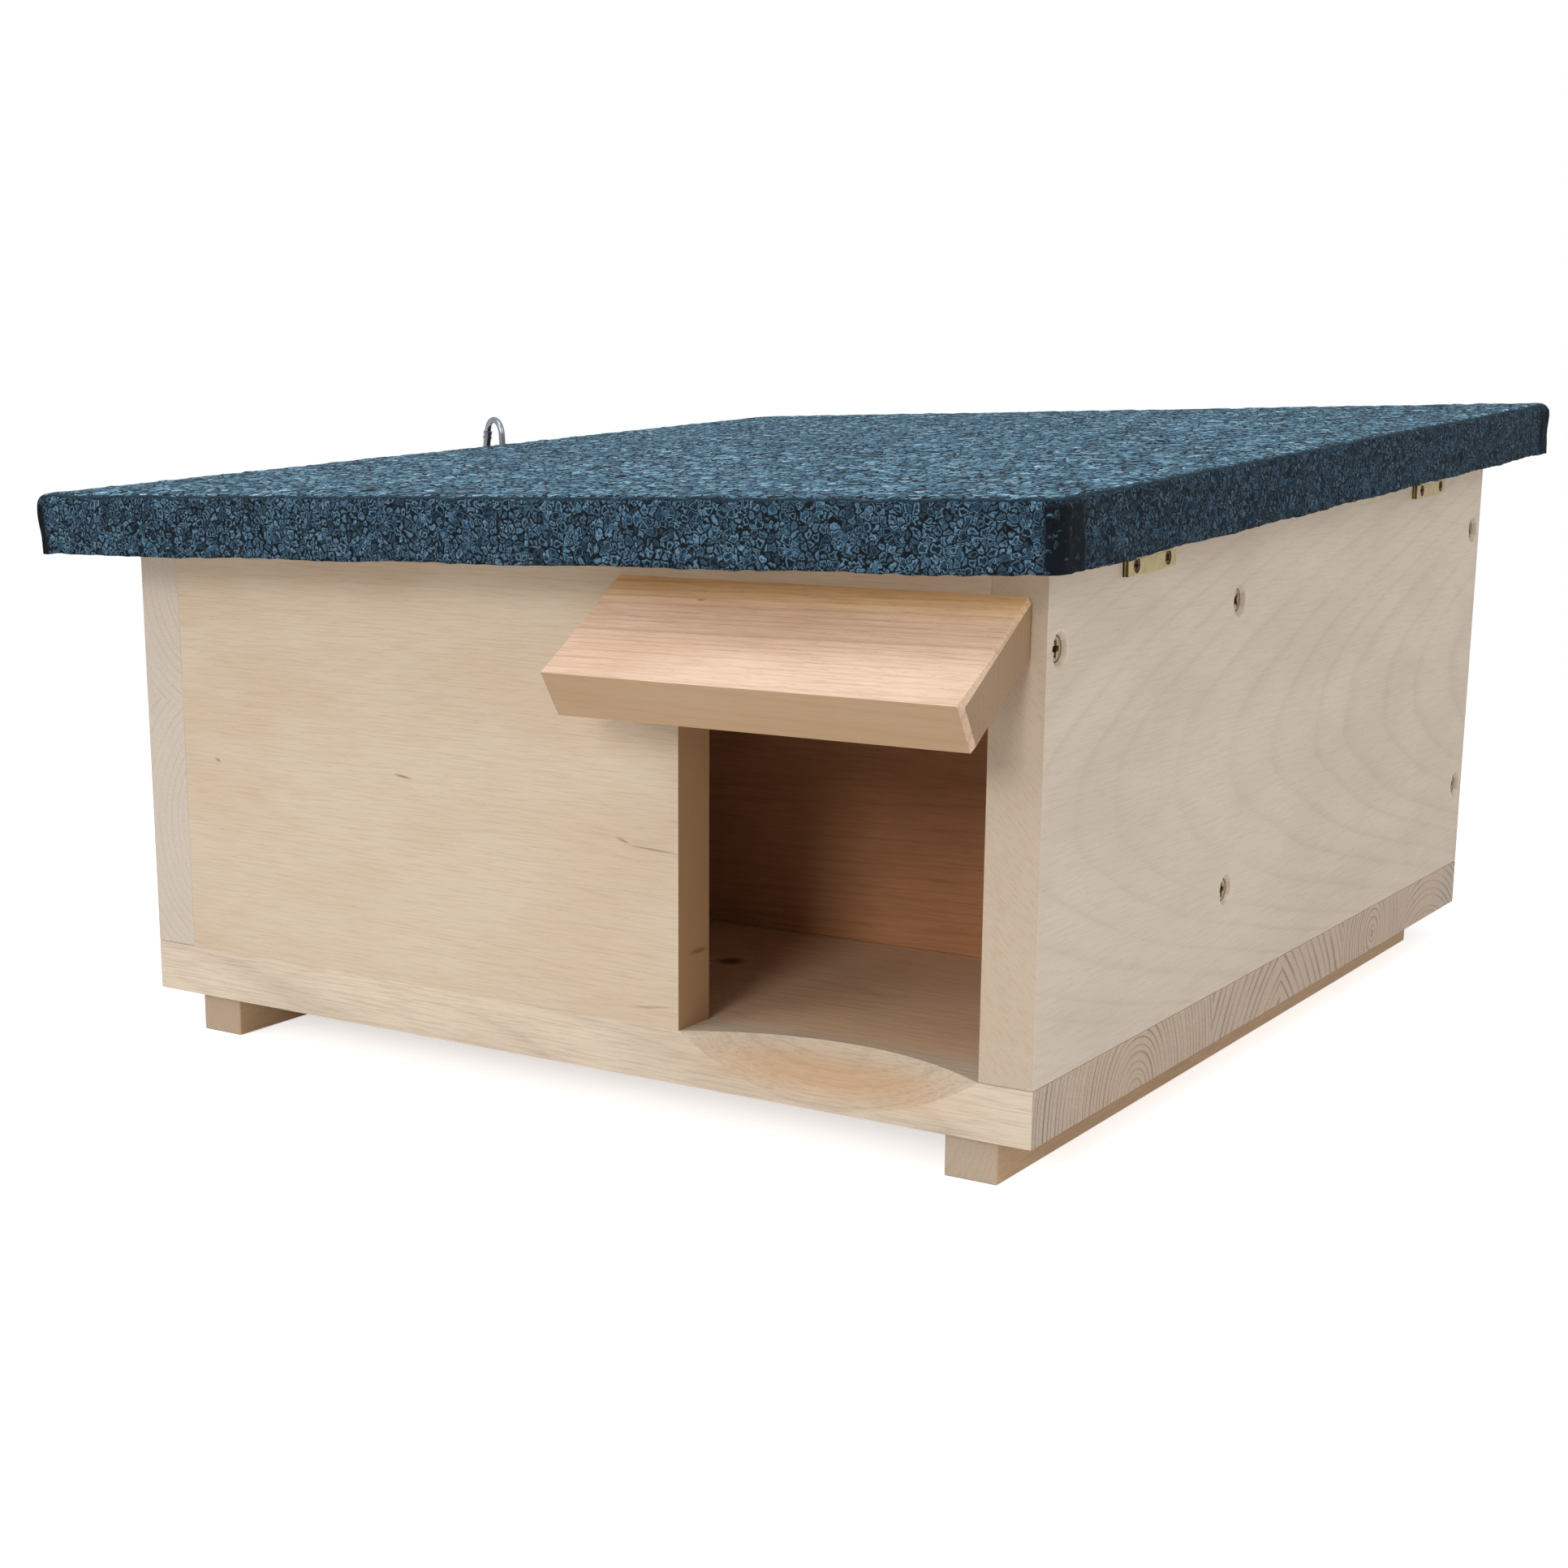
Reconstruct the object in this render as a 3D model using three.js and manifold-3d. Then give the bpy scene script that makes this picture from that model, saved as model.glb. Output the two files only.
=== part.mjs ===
// A wooden hedgehog house: a box with a side entrance under a small canopy, an inner partition,
// two runners and a felt-covered roof on hinges, with a spring hook at its free side.
// Lengths are in millimetres. +Z is up, the entrance faces -Y and the hinges are at +X.
// The boards are laid out from the front left corner under the floor, and the assembly is then
// placed so that the origin is at the middle of its footprint, on the ground.
import * as THREE from 'three';
import { mergeVertices } from 'three/addons/utils/BufferGeometryUtils.js';
import Module from 'manifold-3d';

const wasm = await Module();
wasm.setup();

// Box
const bodyWidth = 400;
const bodyDepth = 470;
const boardThickness = 20;
const weldDistance = 0.001;
const overrun = 5;

// Entrance, partition and passage
const entranceWidth = 120;
const entranceHeight = 125;
const scoopReach = 19;
const scoopSides = 180;
const partitionFront = 160;
const passageWidth = 120;

// Runners under the floor
const runnerWidth = 20;
const runnerHeight = 16;
const runnerLeftInset = 20;
const runnerRightInset = 14;
const runnerFront = 4;
const runnerLength = 438;

// Roof: its underside starts at the front right corner and rises to the right and back
const roofOverEntrance = 47.3;
const roofRiseAcross = 9.6;
const roofRiseBack = 20.7;
const roofSideOverhang = 20;
const roofEndOverhang = 35.4;
const roofBoardThickness = 20;
const feltThickness = 3;
const feltEdgeRadius = 4;
const feltCornerRadius = 6;
const feltEdgeSteps = 3;
const feltCornerSteps = 4;
const roofGap = 0.3;

// Canopy over the entrance: its top is measured from the entrance, the rest from the top
const canopyLeftOverlap = 25.6;
const canopyRightInset = 5.4;
const canopyOverEntrance = 36.5;
const canopyBackDepth = 20.3;
const canopyReach = 47.2;
const canopyDrop = 29.6;
const canopyEdgeReach = 37.4;
const canopyEdgeDrop = 45.1;
const canopyChamfer = 1.6;

// Screws
const screwSides = 12;
const screwClearance = 0.15;
const woodScrew = {
  length: 40,
  shankRadius: 2,
  headRadius: 4.5,
  coneHeight: 2.6,
  rimHeight: 0.4,
  sink: 1.8,
  flare: 1.4,
  slotWidth: 1,
  slotSpan: 4.6,
  slotDepth: 1.4,
};
const flushScrew = { ...woodScrew, sink: 0.1, flare: 0 };
const runnerScrew = { ...woodScrew, length: 28, sink: 1.5 };
const canopyScrew = { ...woodScrew, length: 31 };
const hingeScrew = {
  length: 12,
  shankRadius: 1.2,
  headRadius: 2.6,
  coneHeight: 1.5,
  rimHeight: 0.2,
  sink: 0.1,
  flare: 0,
  slotWidth: 0.6,
  slotSpan: 3,
  slotDepth: 0.7,
};
const lowScrewHeight = 59;
const frontScrewDrop = 27.8;
const middleScrewDrop = 23.7;
const backScrewDrop = 12.3;
const leftFrontScrewDrop = 36.3;
const leftBackScrewDrop = 20.3;
const partitionScrewInset = 5;
const floorScrewFrontInset = 60;
const floorScrewBackInset = 70;
const panelScrewInset = 120;
const partitionFloorScrewInset = 60;
const runnerScrewInset = 36;
const canopyScrewDrop = 13.5;
const canopyScrewInset = 38;

// Hinges
const hingeFrontInset = 76;
const hingeBackInset = 86;
const hingeNames = ['front', 'rear'];
const hingeLength = 40;
const leafWidth = 10.5;
const leafThickness = 2.2;
const knuckleRadius = 2.4;
const knuckleCount = 5;
const knuckleGap = 0.25;
const knuckleSides = 20;
const pinRadius = 1.1;
const pinClearance = 0.1;
const pinOverhang = 0.4;
const hingeScrewSpacing = 26.5;
const hingeScrewInset = 3.3;
const leafSeatGap = 0.2;
const lidOpenAngle = 90;

// Spring hook at the roof's free side: a bent wire with a sprung gate
const hookTurn = 22;
const hookSeat = 8.5;
const hookAlong = 252.8;
const hookHoleRadius = 2.35;
const hookWireRadius = 1.5;
const hookRiseOverRoof = 13.3;
const hookLength = 50;
const hookTopRadius = 6.7;
const hookBottomRadius = 10.75;
const hookNoseAngle = 14;
const hookFootAngle = -12;
const hookArcSteps = 12;
const hookBackShares = [0.25, 0.5, 0.75];
const hookSteps = 56;
const wireSides = 10;
const gateRadius = 1.8;
const gateCollarRadius = 2.15;
const gateCollarHeight = 1.5;
const gateBandHeight = 1.1;
const gateGap = 0.3;
const gateBoreRadius = 1;
const gateSpringWire = 0.18;
const gateSpringSides = 5;
const gateSpringRadius = 0.65;
const gateSpringTurns = 7;
const gateSpringLength = 8;
const tongueThickness = 1.3;
const tongueGap = 0.2;
const rivetRadius = 0.6;
const rivetHeadRadius = 1.1;
const rivetHeadHeight = 0.35;
const rivetClearance = 0.08;
const gateOpenAngle = 11;
const hookLift = 5;

// Screw eye in the left wall, on which the hook stands
const eyeWireRadius = 1.5;
const eyeRingRadius = 6.5;
const eyeReach = 15;
const eyeDepth = 15;
const eyeClearance = 0.15;
const eyeSteps = 28;
const eyeStandGap = 0.2;

const wood = { color: 0xd3bfa3, roughness: 0.75, metalness: 0 };
const felt = { color: 0x51708a, roughness: 0.95, metalness: 0 };
const zinc = { color: 0xb9a878, roughness: 0.4, metalness: 0.9 };
const brass = { color: 0xc8a765, roughness: 0.35, metalness: 0.9 };
const bronze = { color: 0x5a4630, roughness: 0.5, metalness: 0.8 };
const steel = { color: 0xb8bcc0, roughness: 0.3, metalness: 0.95 };

function vector(x, y, z) {
  return new THREE.Vector3(x, y, z);
}

const right = vector(1, 0, 0);
const left = vector(-1, 0, 0);
const back = vector(0, 1, 0);
const up = vector(0, 0, 1);
const down = vector(0, 0, -1);

// Turns a three.js geometry into a solid for the cuts and joins
function solidOf(geometry) {
  const loose = geometry.index ? geometry.toNonIndexed() : geometry;
  const bare = new THREE.BufferGeometry();
  bare.setAttribute('position', loose.getAttribute('position'));
  const merged = mergeVertices(bare, weldDistance);
  const corners = [];
  for (let i = 0; i < merged.index.count; i += 3) {
    const [a, b, c] = [0, 1, 2].map((k) => merged.index.getX(i + k));
    if (a !== b && b !== c && c !== a) corners.push(a, b, c);
  }
  return new wasm.Manifold(new wasm.Mesh({
    numProp: 3,
    vertProperties: merged.attributes.position.array,
    triVerts: new Uint32Array(corners),
  }));
}

function geometryOf(solid) {
  const mesh = solid.getMesh();
  const geometry = new THREE.BufferGeometry();
  geometry.setAttribute('position', new THREE.BufferAttribute(mesh.vertProperties, 3));
  geometry.setIndex(new THREE.BufferAttribute(mesh.triVerts, 1));
  geometry.computeVertexNormals();
  return geometry;
}

function addGroup(parent, name, frame) {
  const group = new THREE.Group();
  group.name = name;
  group.applyMatrix4(frame);
  parent.add(group);
  return group;
}

function addPart(group, name, solid, finish) {
  const mesh = new THREE.Mesh(geometryOf(solid), new THREE.MeshStandardMaterial(finish));
  mesh.name = name;
  group.add(mesh);
  return mesh;
}

function block(low, high, frame = new THREE.Matrix4()) {
  const size = high.clone().sub(low);
  const middle = low.clone().lerp(high, 0.5);
  const geometry = new THREE.BoxGeometry(size.x, size.y, size.z);
  geometry.translate(middle.x, middle.y, middle.z);
  return solidOf(geometry.applyMatrix4(frame));
}

function joined(solids) {
  return solids.reduce((whole, solid) => whole.add(solid));
}

// A turned shape about +Z from pairs of radius and height, listed from its lower end up
function turned(pairs, sides) {
  const points = pairs.map(([radius, height]) => new THREE.Vector2(radius, height));
  return new THREE.LatheGeometry(points, sides).rotateX(Math.PI / 2);
}

// Where a screw's head meets the surface, with +Z leaving the wood
function screwFrame(place, frame = new THREE.Matrix4()) {
  const turn = new THREE.Quaternion().setFromUnitVectors(up, place.out);
  return new THREE.Matrix4().compose(place.at, turn, vector(1, 1, 1)).premultiply(frame);
}

// A countersunk screw with a cross recess, its head's surface a little under the origin
function screwSolid(spec) {
  const top = -spec.sink;
  const rim = top - spec.rimHeight;
  const neck = rim - spec.coneHeight;
  const tip = top - spec.length;
  const body = solidOf(turned([
    [0, tip],
    [spec.shankRadius, tip + spec.shankRadius],
    [spec.shankRadius, neck],
    [spec.headRadius, rim],
    [spec.headRadius, top],
    [0, top],
  ], screwSides));
  const long = spec.slotSpan / 2;
  const thin = spec.slotWidth / 2;
  const low = top - spec.slotDepth;
  const first = block(vector(-long, -thin, low), vector(long, thin, overrun));
  const second = block(vector(-thin, -long, low), vector(thin, long, overrun));
  return body.subtract(first).subtract(second);
}

// A screw's hole, which can widen to a crater from the head's surface outwards
function screwHole(spec, place, frame) {
  const shank = spec.shankRadius + screwClearance;
  const head = spec.headRadius + screwClearance;
  const mouth = head + spec.flare;
  const rim = -spec.sink - spec.rimHeight - screwClearance;
  const neck = rim - spec.coneHeight;
  const tip = -spec.sink - spec.length - screwClearance;
  const geometry = turned([
    [0, tip],
    [shank, tip],
    [shank, neck],
    [head, rim],
    [head, -spec.sink],
    [mouth, 0],
    [mouth, overrun],
    [0, overrun],
  ], screwSides);
  return solidOf(geometry.applyMatrix4(screwFrame(place, frame)));
}

function addScrews(group, name, spec, places) {
  const finish = spec === hingeScrew ? bronze : zinc;
  places.forEach((place, i) => {
    const screw = addPart(group, `${name}_${i + 1}`, screwSolid(spec), finish);
    screw.applyMatrix4(screwFrame(place));
  });
}

function drilled(solid, spec, places, frame) {
  return places.reduce((rest, place) => rest.subtract(screwHole(spec, place, frame)), solid);
}

// Heights that follow the entrance
const floorTop = boardThickness;
const entranceTop = floorTop + entranceHeight;
const canopyTop = entranceTop + canopyOverEntrance;
const roofCornerHeight = entranceTop + roofOverEntrance;

// Roof frame: origin on the underside above the right wall's outer face, Y along the hinges
const slopeAcross = roofRiseAcross / bodyWidth;
const slopeBack = roofRiseBack / bodyDepth;
const roofNormal = vector(-slopeAcross, -slopeBack, 1).normalize();
const hingeLine = vector(0, 1, slopeBack).normalize();
const roofAcross = hingeLine.clone().cross(roofNormal);
const roofOrigin = vector(bodyWidth, 0, roofCornerHeight);
const roofFrame = new THREE.Matrix4().makeBasis(roofAcross, hingeLine, roofNormal);
roofFrame.setPosition(roofOrigin);
const roofThickness = roofBoardThickness + roofGap + feltThickness;
const roofLeft = -bodyWidth - roofSideOverhang;
const roofBack = bodyDepth + roofEndOverhang;

// Wall frame: as the roof frame, but its YZ plane is the right wall's outer face
const wallUp = right.clone().cross(hingeLine);
const wallFrame = new THREE.Matrix4().makeBasis(right, hingeLine, wallUp).setPosition(roofOrigin);

const house = new THREE.Group();
house.name = 'hedgehog_house';
const assembly = addGroup(house, 'assembly', new THREE.Matrix4());
const hingeSide = addGroup(assembly, 'hinge_side', wallFrame);
const lid = addGroup(assembly, 'lid', roofFrame);

const halfBoard = boardThickness / 2;
const innerRight = bodyWidth - boardThickness;
const innerBack = bodyDepth - boardThickness;
const blankTop = roofCornerHeight + roofRiseBack + overrun;
const partitionBack = partitionFront + boardThickness;
const partitionLeft = boardThickness + passageWidth;
const entranceLeft = innerRight - entranceWidth;

// Screws through the side walls into the panels and the partition, the high ones from the roof down
const backLine = bodyDepth - halfBoard;
const partitionScrewLine = partitionFront + partitionScrewInset;
const rightPlaces = [
  [halfBoard, roofCornerHeight - frontScrewDrop],
  [partitionScrewLine, roofCornerHeight - middleScrewDrop],
  [partitionScrewLine, lowScrewHeight],
  [backLine, roofCornerHeight - backScrewDrop],
  [backLine, lowScrewHeight],
].map(([y, z]) => ({ at: vector(bodyWidth, y, z), out: right }));
const leftPlaces = [
  [halfBoard, roofCornerHeight - leftFrontScrewDrop],
  [halfBoard, lowScrewHeight],
  [backLine, roofCornerHeight - leftBackScrewDrop],
  [backLine, lowScrewHeight],
].map(([y, z]) => ({ at: vector(0, y, z), out: left }));

// Screws up through the floor into the walls, the panels and the partition
const floorScrewBack = bodyDepth - floorScrewBackInset;
const floorPlaces = [
  [halfBoard, floorScrewFrontInset],
  [halfBoard, floorScrewBack],
  [bodyWidth - halfBoard, floorScrewFrontInset],
  [bodyWidth - halfBoard, floorScrewBack],
  [panelScrewInset, halfBoard],
  [panelScrewInset, backLine],
  [bodyWidth - panelScrewInset, backLine],
  [partitionLeft + partitionFloorScrewInset, partitionFront + halfBoard],
  [innerRight - partitionFloorScrewInset, partitionFront + halfBoard],
].map(([x, y]) => ({ at: vector(x, y, 0), out: down }));

const runnerBack = runnerFront + runnerLength;
const halfRunner = runnerWidth / 2;
const runners = [
  { name: 'left', x: runnerLeftInset + halfRunner },
  { name: 'right', x: bodyWidth - runnerRightInset - halfRunner },
];
function runnerPlaces({ x }) {
  const first = runnerFront + runnerScrewInset;
  const last = runnerBack - runnerScrewInset;
  const lines = [first, (first + last) / 2, last];
  return lines.map((y) => ({ at: vector(x, y, -runnerHeight), out: down }));
}

const canopyLeft = entranceLeft - canopyLeftOverlap;
const canopyRight = bodyWidth - canopyRightInset;
const canopyPlaces = [canopyLeft + canopyScrewInset, canopyRight - canopyScrewInset].map((x) => ({
  at: vector(x, boardThickness, canopyTop - canopyScrewDrop),
  out: back,
}));

// Two screws in each hinge leaf, in the wall frame and the roof frame
const hingeCentres = [hingeFrontInset, bodyDepth - hingeBackInset];
const leafScrewLines = hingeCentres.flatMap((centre) => [
  centre - hingeScrewSpacing / 2,
  centre + hingeScrewSpacing / 2,
]);
const wallLeafPlaces = leafScrewLines.map((y) => ({
  at: vector(leafThickness, y, hingeScrewInset - leafWidth),
  out: right,
}));
const lidLeafPlaces = leafScrewLines.map((y) => ({
  at: vector(leafWidth - hingeScrewInset, y, -leafThickness - leafSeatGap),
  out: down,
}));

// Everything above the roof's underside, and the gap that the roof keeps from the walls
function aboveWalls() {
  const low = vector(roofLeft, -roofEndOverhang, -roofGap);
  return block(low, vector(roofSideOverhang, roofBack, roofCornerHeight), roofFrame);
}

function board(low, high) {
  return block(low, high).subtract(aboveWalls());
}

// The hollow across the floor's front edge, cut at a slant by a large cylinder
function entranceScoop() {
  const sag = scoopReach / Math.SQRT2;
  const half = entranceWidth / 2;
  const radius = (half * half + sag * sag) / (2 * sag);
  const away = (radius - sag) / Math.SQRT2;
  const geometry = new THREE.CylinderGeometry(radius, radius, entranceWidth, scoopSides);
  geometry.rotateX(Math.PI / 4);
  geometry.translate(entranceLeft + half, -away, floorTop + away);
  return solidOf(geometry);
}

function addFloor() {
  const blank = block(vector(0, 0, 0), vector(bodyWidth, bodyDepth, floorTop));
  let floor = drilled(blank.subtract(entranceScoop()), flushScrew, floorPlaces);
  for (const runner of runners) floor = drilled(floor, runnerScrew, runnerPlaces(runner));
  addPart(assembly, 'floor_board', floor, wood);
  addScrews(assembly, 'floor_screw', flushScrew, floorPlaces);
}

function addSideWalls() {
  const leftBlank = board(vector(0, 0, floorTop), vector(boardThickness, bodyDepth, blankTop));
  const leftWall = drilled(drilled(leftBlank, woodScrew, leftPlaces), flushScrew, floorPlaces);
  addPart(assembly, 'left_wall', leftWall.subtract(eyeHole()), wood);
  addScrews(assembly, 'left_wall_screw', woodScrew, leftPlaces);

  const rightBlank = board(vector(innerRight, 0, floorTop), vector(bodyWidth, bodyDepth, blankTop));
  const rightWall = drilled(drilled(rightBlank, woodScrew, rightPlaces), flushScrew, floorPlaces);
  addPart(assembly, 'right_wall', drilled(rightWall, hingeScrew, wallLeafPlaces, wallFrame), wood);
  addScrews(assembly, 'right_wall_screw', woodScrew, rightPlaces);
}

function addPanel(name, low, high, cut) {
  const blank = board(low, high);
  const panel = drilled(blank, woodScrew, [...rightPlaces, ...leftPlaces]);
  addPart(assembly, name, cut(drilled(panel, flushScrew, floorPlaces)), wood);
}

function addPanels() {
  const entrance = block(
    vector(entranceLeft, -overrun, floorTop - overrun),
    vector(innerRight + overrun, boardThickness + overrun, entranceTop),
  );
  const frontHigh = vector(innerRight, boardThickness, blankTop);
  const backHigh = vector(innerRight, bodyDepth, blankTop);
  const middleHigh = vector(innerRight, partitionBack, blankTop);
  addPanel('front_panel', vector(boardThickness, 0, floorTop), frontHigh, (panel) => (
    drilled(panel.subtract(entrance), canopyScrew, canopyPlaces)
  ));
  addPanel('back_panel', vector(boardThickness, innerBack, floorTop), backHigh, (panel) => panel);
  addPanel('partition', vector(partitionLeft, partitionFront, floorTop), middleHigh, (panel) => panel);
}

function addRunners() {
  for (const runner of runners) {
    const { name, x } = runner;
    const low = vector(x - halfRunner, runnerFront, -runnerHeight);
    const solid = block(low, vector(x + halfRunner, runnerBack, 0));
    addPart(assembly, `${name}_runner`, drilled(solid, runnerScrew, runnerPlaces(runner)), wood);
    addScrews(assembly, `${name}_runner_screw`, runnerScrew, runnerPlaces(runner));
  }
}

// The canopy's section: its top falls to the front, where it is cut square
function addCanopy() {
  const shape = new THREE.Shape([
    new THREE.Vector2(0, canopyTop),
    new THREE.Vector2(0, canopyTop - canopyBackDepth),
    new THREE.Vector2(canopyEdgeReach, canopyTop - canopyEdgeDrop),
    new THREE.Vector2(canopyReach, canopyTop - canopyDrop),
  ]);
  const geometry = new THREE.ExtrudeGeometry(shape, {
    depth: canopyRight - canopyLeft - 2 * canopyChamfer,
    bevelThickness: canopyChamfer,
    bevelSize: canopyChamfer,
    bevelOffset: -canopyChamfer,
    bevelSegments: 1,
  });
  const axes = new THREE.Matrix4().makeBasis(vector(0, -1, 0), up, left);
  geometry.applyMatrix4(axes.setPosition(canopyRight - canopyChamfer, 0, 0));
  addPart(assembly, 'entrance_canopy', drilled(solidOf(geometry), canopyScrew, canopyPlaces), wood);
  addScrews(assembly, 'canopy_screw', canopyScrew, canopyPlaces);
}

function roundedRectangle(low, high, radius) {
  const corners = [
    [high.x - radius, high.y - radius],
    [low.x + radius, high.y - radius],
    [low.x + radius, low.y + radius],
    [high.x - radius, low.y + radius],
  ];
  const shape = new THREE.Shape();
  corners.forEach(([x, y], i) => {
    shape.absarc(x, y, radius, i * Math.PI / 2, (i + 1) * Math.PI / 2);
  });
  shape.closePath();
  return shape;
}

// The felt's outside, rounded along its top edges and square at the underside
function feltOutside() {
  const low = vector(roofLeft, -roofEndOverhang, 0);
  const high = vector(roofSideOverhang, roofBack, roofThickness);
  const geometry = new THREE.ExtrudeGeometry(roundedRectangle(low, high, feltCornerRadius), {
    depth: roofThickness,
    bevelThickness: feltEdgeRadius,
    bevelSize: feltEdgeRadius,
    bevelOffset: -feltEdgeRadius,
    bevelSegments: feltEdgeSteps,
    curveSegments: feltCornerSteps,
  });
  geometry.translate(0, 0, -feltEdgeRadius);
  const around = vector(overrun, overrun, 0);
  return solidOf(geometry).intersect(block(low.clone().sub(around), high.clone().add(around)));
}

// The roof board, or the pocket for it in the felt, which is wider by a gap and open below
function roofBoard(gap, depth) {
  const edge = feltThickness + roofGap - gap;
  return block(
    vector(roofLeft + edge, edge - roofEndOverhang, -depth),
    vector(roofSideOverhang - edge, roofBack - edge, roofBoardThickness + gap),
  );
}

// The hole in the overhang that the hook's straight back goes down through
function hookHole() {
  const length = 2 * roofThickness;
  const geometry = new THREE.CylinderGeometry(hookHoleRadius, hookHoleRadius, length, screwSides);
  geometry.rotateX(Math.PI / 2);
  return solidOf(geometry.translate(roofLeft + hookSeat, hookAlong, roofThickness / 2));
}

function addRoof() {
  const plate = drilled(roofBoard(0, 0), hingeScrew, lidLeafPlaces);
  const cover = feltOutside().subtract(roofBoard(roofGap, overrun));
  addPart(lid, 'roof_board', plate.subtract(hookHole()), wood);
  addPart(lid, 'roof_felt', cover.subtract(hookHole()), felt);
}

// The hinge axis lies a knuckle's radius from the wall, and from the leaf's seat under the roof
const wallToRoof = roofFrame.clone().invert().multiply(wallFrame);
const normalOut = roofNormal.dot(right);
const normalUp = roofNormal.dot(wallUp);
const axisUp = -(knuckleRadius + leafSeatGap + knuckleRadius * normalOut) / normalUp;
const axisInWall = vector(knuckleRadius, 0, axisUp);
const axisInRoof = axisInWall.clone().applyMatrix4(wallToRoof);

function barrel(axis, from, to, radius) {
  const geometry = new THREE.CylinderGeometry(radius, radius, to - from, knuckleSides);
  return solidOf(geometry.translate(axis.x, (from + to) / 2, axis.z));
}

// A leaf's plate, which clears the barrel, with its own knuckles and the webs that hold them
function leaf(axis, centre, own, plate, web) {
  const start = centre - hingeLength / 2;
  const end = centre + hingeLength / 2;
  const pitch = hingeLength / knuckleCount;
  let solid = plate(start, end);
  for (let i = own; i < knuckleCount; i += 2) {
    const from = Math.max(start, start + i * pitch + knuckleGap / 2);
    const to = Math.min(end, start + (i + 1) * pitch - knuckleGap / 2);
    solid = solid.add(barrel(axis, from, to, knuckleRadius)).add(web(from, to));
  }
  return solid.subtract(barrel(axis, start - overrun, end + overrun, pinRadius + pinClearance));
}

function wallLeaf(centre) {
  const clear = axisUp - knuckleRadius - knuckleGap;
  const low = clear - leafThickness;
  const plate = (from, to) => block(vector(0, from, -leafWidth), vector(leafThickness, to, clear));
  const web = (from, to) => block(vector(0, from, low), vector(leafThickness, to, axisUp));
  return drilled(leaf(axisInWall, centre, 0, plate, web), hingeScrew, wallLeafPlaces);
}

function lidLeaf(centre) {
  const clear = axisInRoof.x + knuckleRadius + knuckleGap;
  const held = clear + leafThickness;
  const top = -leafSeatGap;
  const under = top - leafThickness;
  const plate = (from, to) => block(vector(clear, from, under), vector(leafWidth, to, top));
  const web = (from, to) => block(vector(axisInRoof.x, from, under), vector(held, to, top));
  return drilled(leaf(axisInRoof, centre, 1, plate, web), hingeScrew, lidLeafPlaces);
}

function addHinges() {
  hingeNames.forEach((name, i) => {
    const centre = hingeCentres[i];
    const reach = hingeLength / 2 + pinOverhang;
    const pin = barrel(axisInWall, centre - reach, centre + reach, pinRadius);
    addPart(hingeSide, `${name}_hinge_wall_leaf`, wallLeaf(centre), brass);
    addPart(hingeSide, `${name}_hinge_pin`, pin, brass);
    addPart(lid, `${name}_hinge_lid_leaf`, lidLeaf(centre), brass);
  });
  addScrews(hingeSide, 'hinge_wall_screw', hingeScrew, wallLeafPlaces);
  addScrews(lid, 'hinge_lid_screw', hingeScrew, lidLeafPlaces);
}

// Hook frame: origin at the foot of the hole, X from the straight back to the gate, Y up
const turnedBy = THREE.MathUtils.degToRad(hookTurn);
const hookOut = vector(-Math.cos(turnedBy), Math.sin(turnedBy), 0);
const hookFrame = new THREE.Matrix4().makeBasis(hookOut, up, hookOut.clone().cross(up));
hookFrame.setPosition(roofLeft + hookSeat, hookAlong, 0);
const hook = addGroup(lid, 'spring_hook', hookFrame);
const hookHigh = roofThickness + hookRiseOverRoof;
const topCentre = hookHigh - hookWireRadius - hookTopRadius;
const bottomCentre = hookHigh - hookLength + hookWireRadius + hookBottomRadius;
const pivot = vector(2 * hookBottomRadius, bottomCentre + hookWireRadius, 0);
const noseTurn = THREE.MathUtils.degToRad(hookNoseAngle);
const nose = vector(
  hookTopRadius + hookTopRadius * Math.cos(noseTurn),
  topCentre + hookTopRadius * Math.sin(noseTurn),
  0,
);

// Gate frame: origin at the rivet, Y along the gate to the nose
const gateLength = nose.distanceTo(pivot) - gateGap;
const gateLean = Math.atan2(pivot.x - nose.x, nose.y - pivot.y);
const gateFrame = new THREE.Matrix4().makeRotationZ(gateLean).setPosition(pivot);
const gate = addGroup(hook, 'hook_gate_group', gateFrame);

function tube(points, radius, steps, sides) {
  const circle = new THREE.Shape();
  circle.absarc(0, 0, radius, 0, 2 * Math.PI);
  const path = new THREE.CatmullRomCurve3(points, false, 'centripetal');
  return solidOf(new THREE.ExtrudeGeometry(circle, { steps, extrudePath: path, curveSegments: sides }));
}

function arcPoints(middle, radius, from, to) {
  return Array.from({ length: hookArcSteps + 1 }, (unused, i) => {
    const angle = THREE.MathUtils.degToRad(THREE.MathUtils.lerp(from, to, i / hookArcSteps));
    return vector(radius * Math.cos(angle), radius * Math.sin(angle), 0).add(middle);
  });
}

// The bent wire: from under the gate round the bottom, up the back and over to the nose
function hookWire() {
  const bottomMiddle = vector(hookBottomRadius, bottomCentre, 0);
  const topMiddle = vector(hookTopRadius, topCentre, 0);
  const straight = hookBackShares.map((share) => bottomMiddle.clone().lerp(topMiddle, share).setX(0));
  const points = [
    ...arcPoints(bottomMiddle, hookBottomRadius, hookFootAngle, -180),
    ...straight,
    ...arcPoints(topMiddle, hookTopRadius, 180, hookNoseAngle),
  ];
  return tube(points, hookWireRadius, hookSteps, wireSides);
}

function along(radius, low, high, sides) {
  const geometry = new THREE.CylinderGeometry(radius, radius, high - low, sides);
  return solidOf(geometry.translate(0, (low + high) / 2, 0));
}

function across(radius, half, middle, sides) {
  const geometry = new THREE.CylinderGeometry(radius, radius, 2 * half, sides).rotateX(Math.PI / 2);
  return solidOf(geometry.translate(middle.x, middle.y, middle.z));
}

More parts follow.
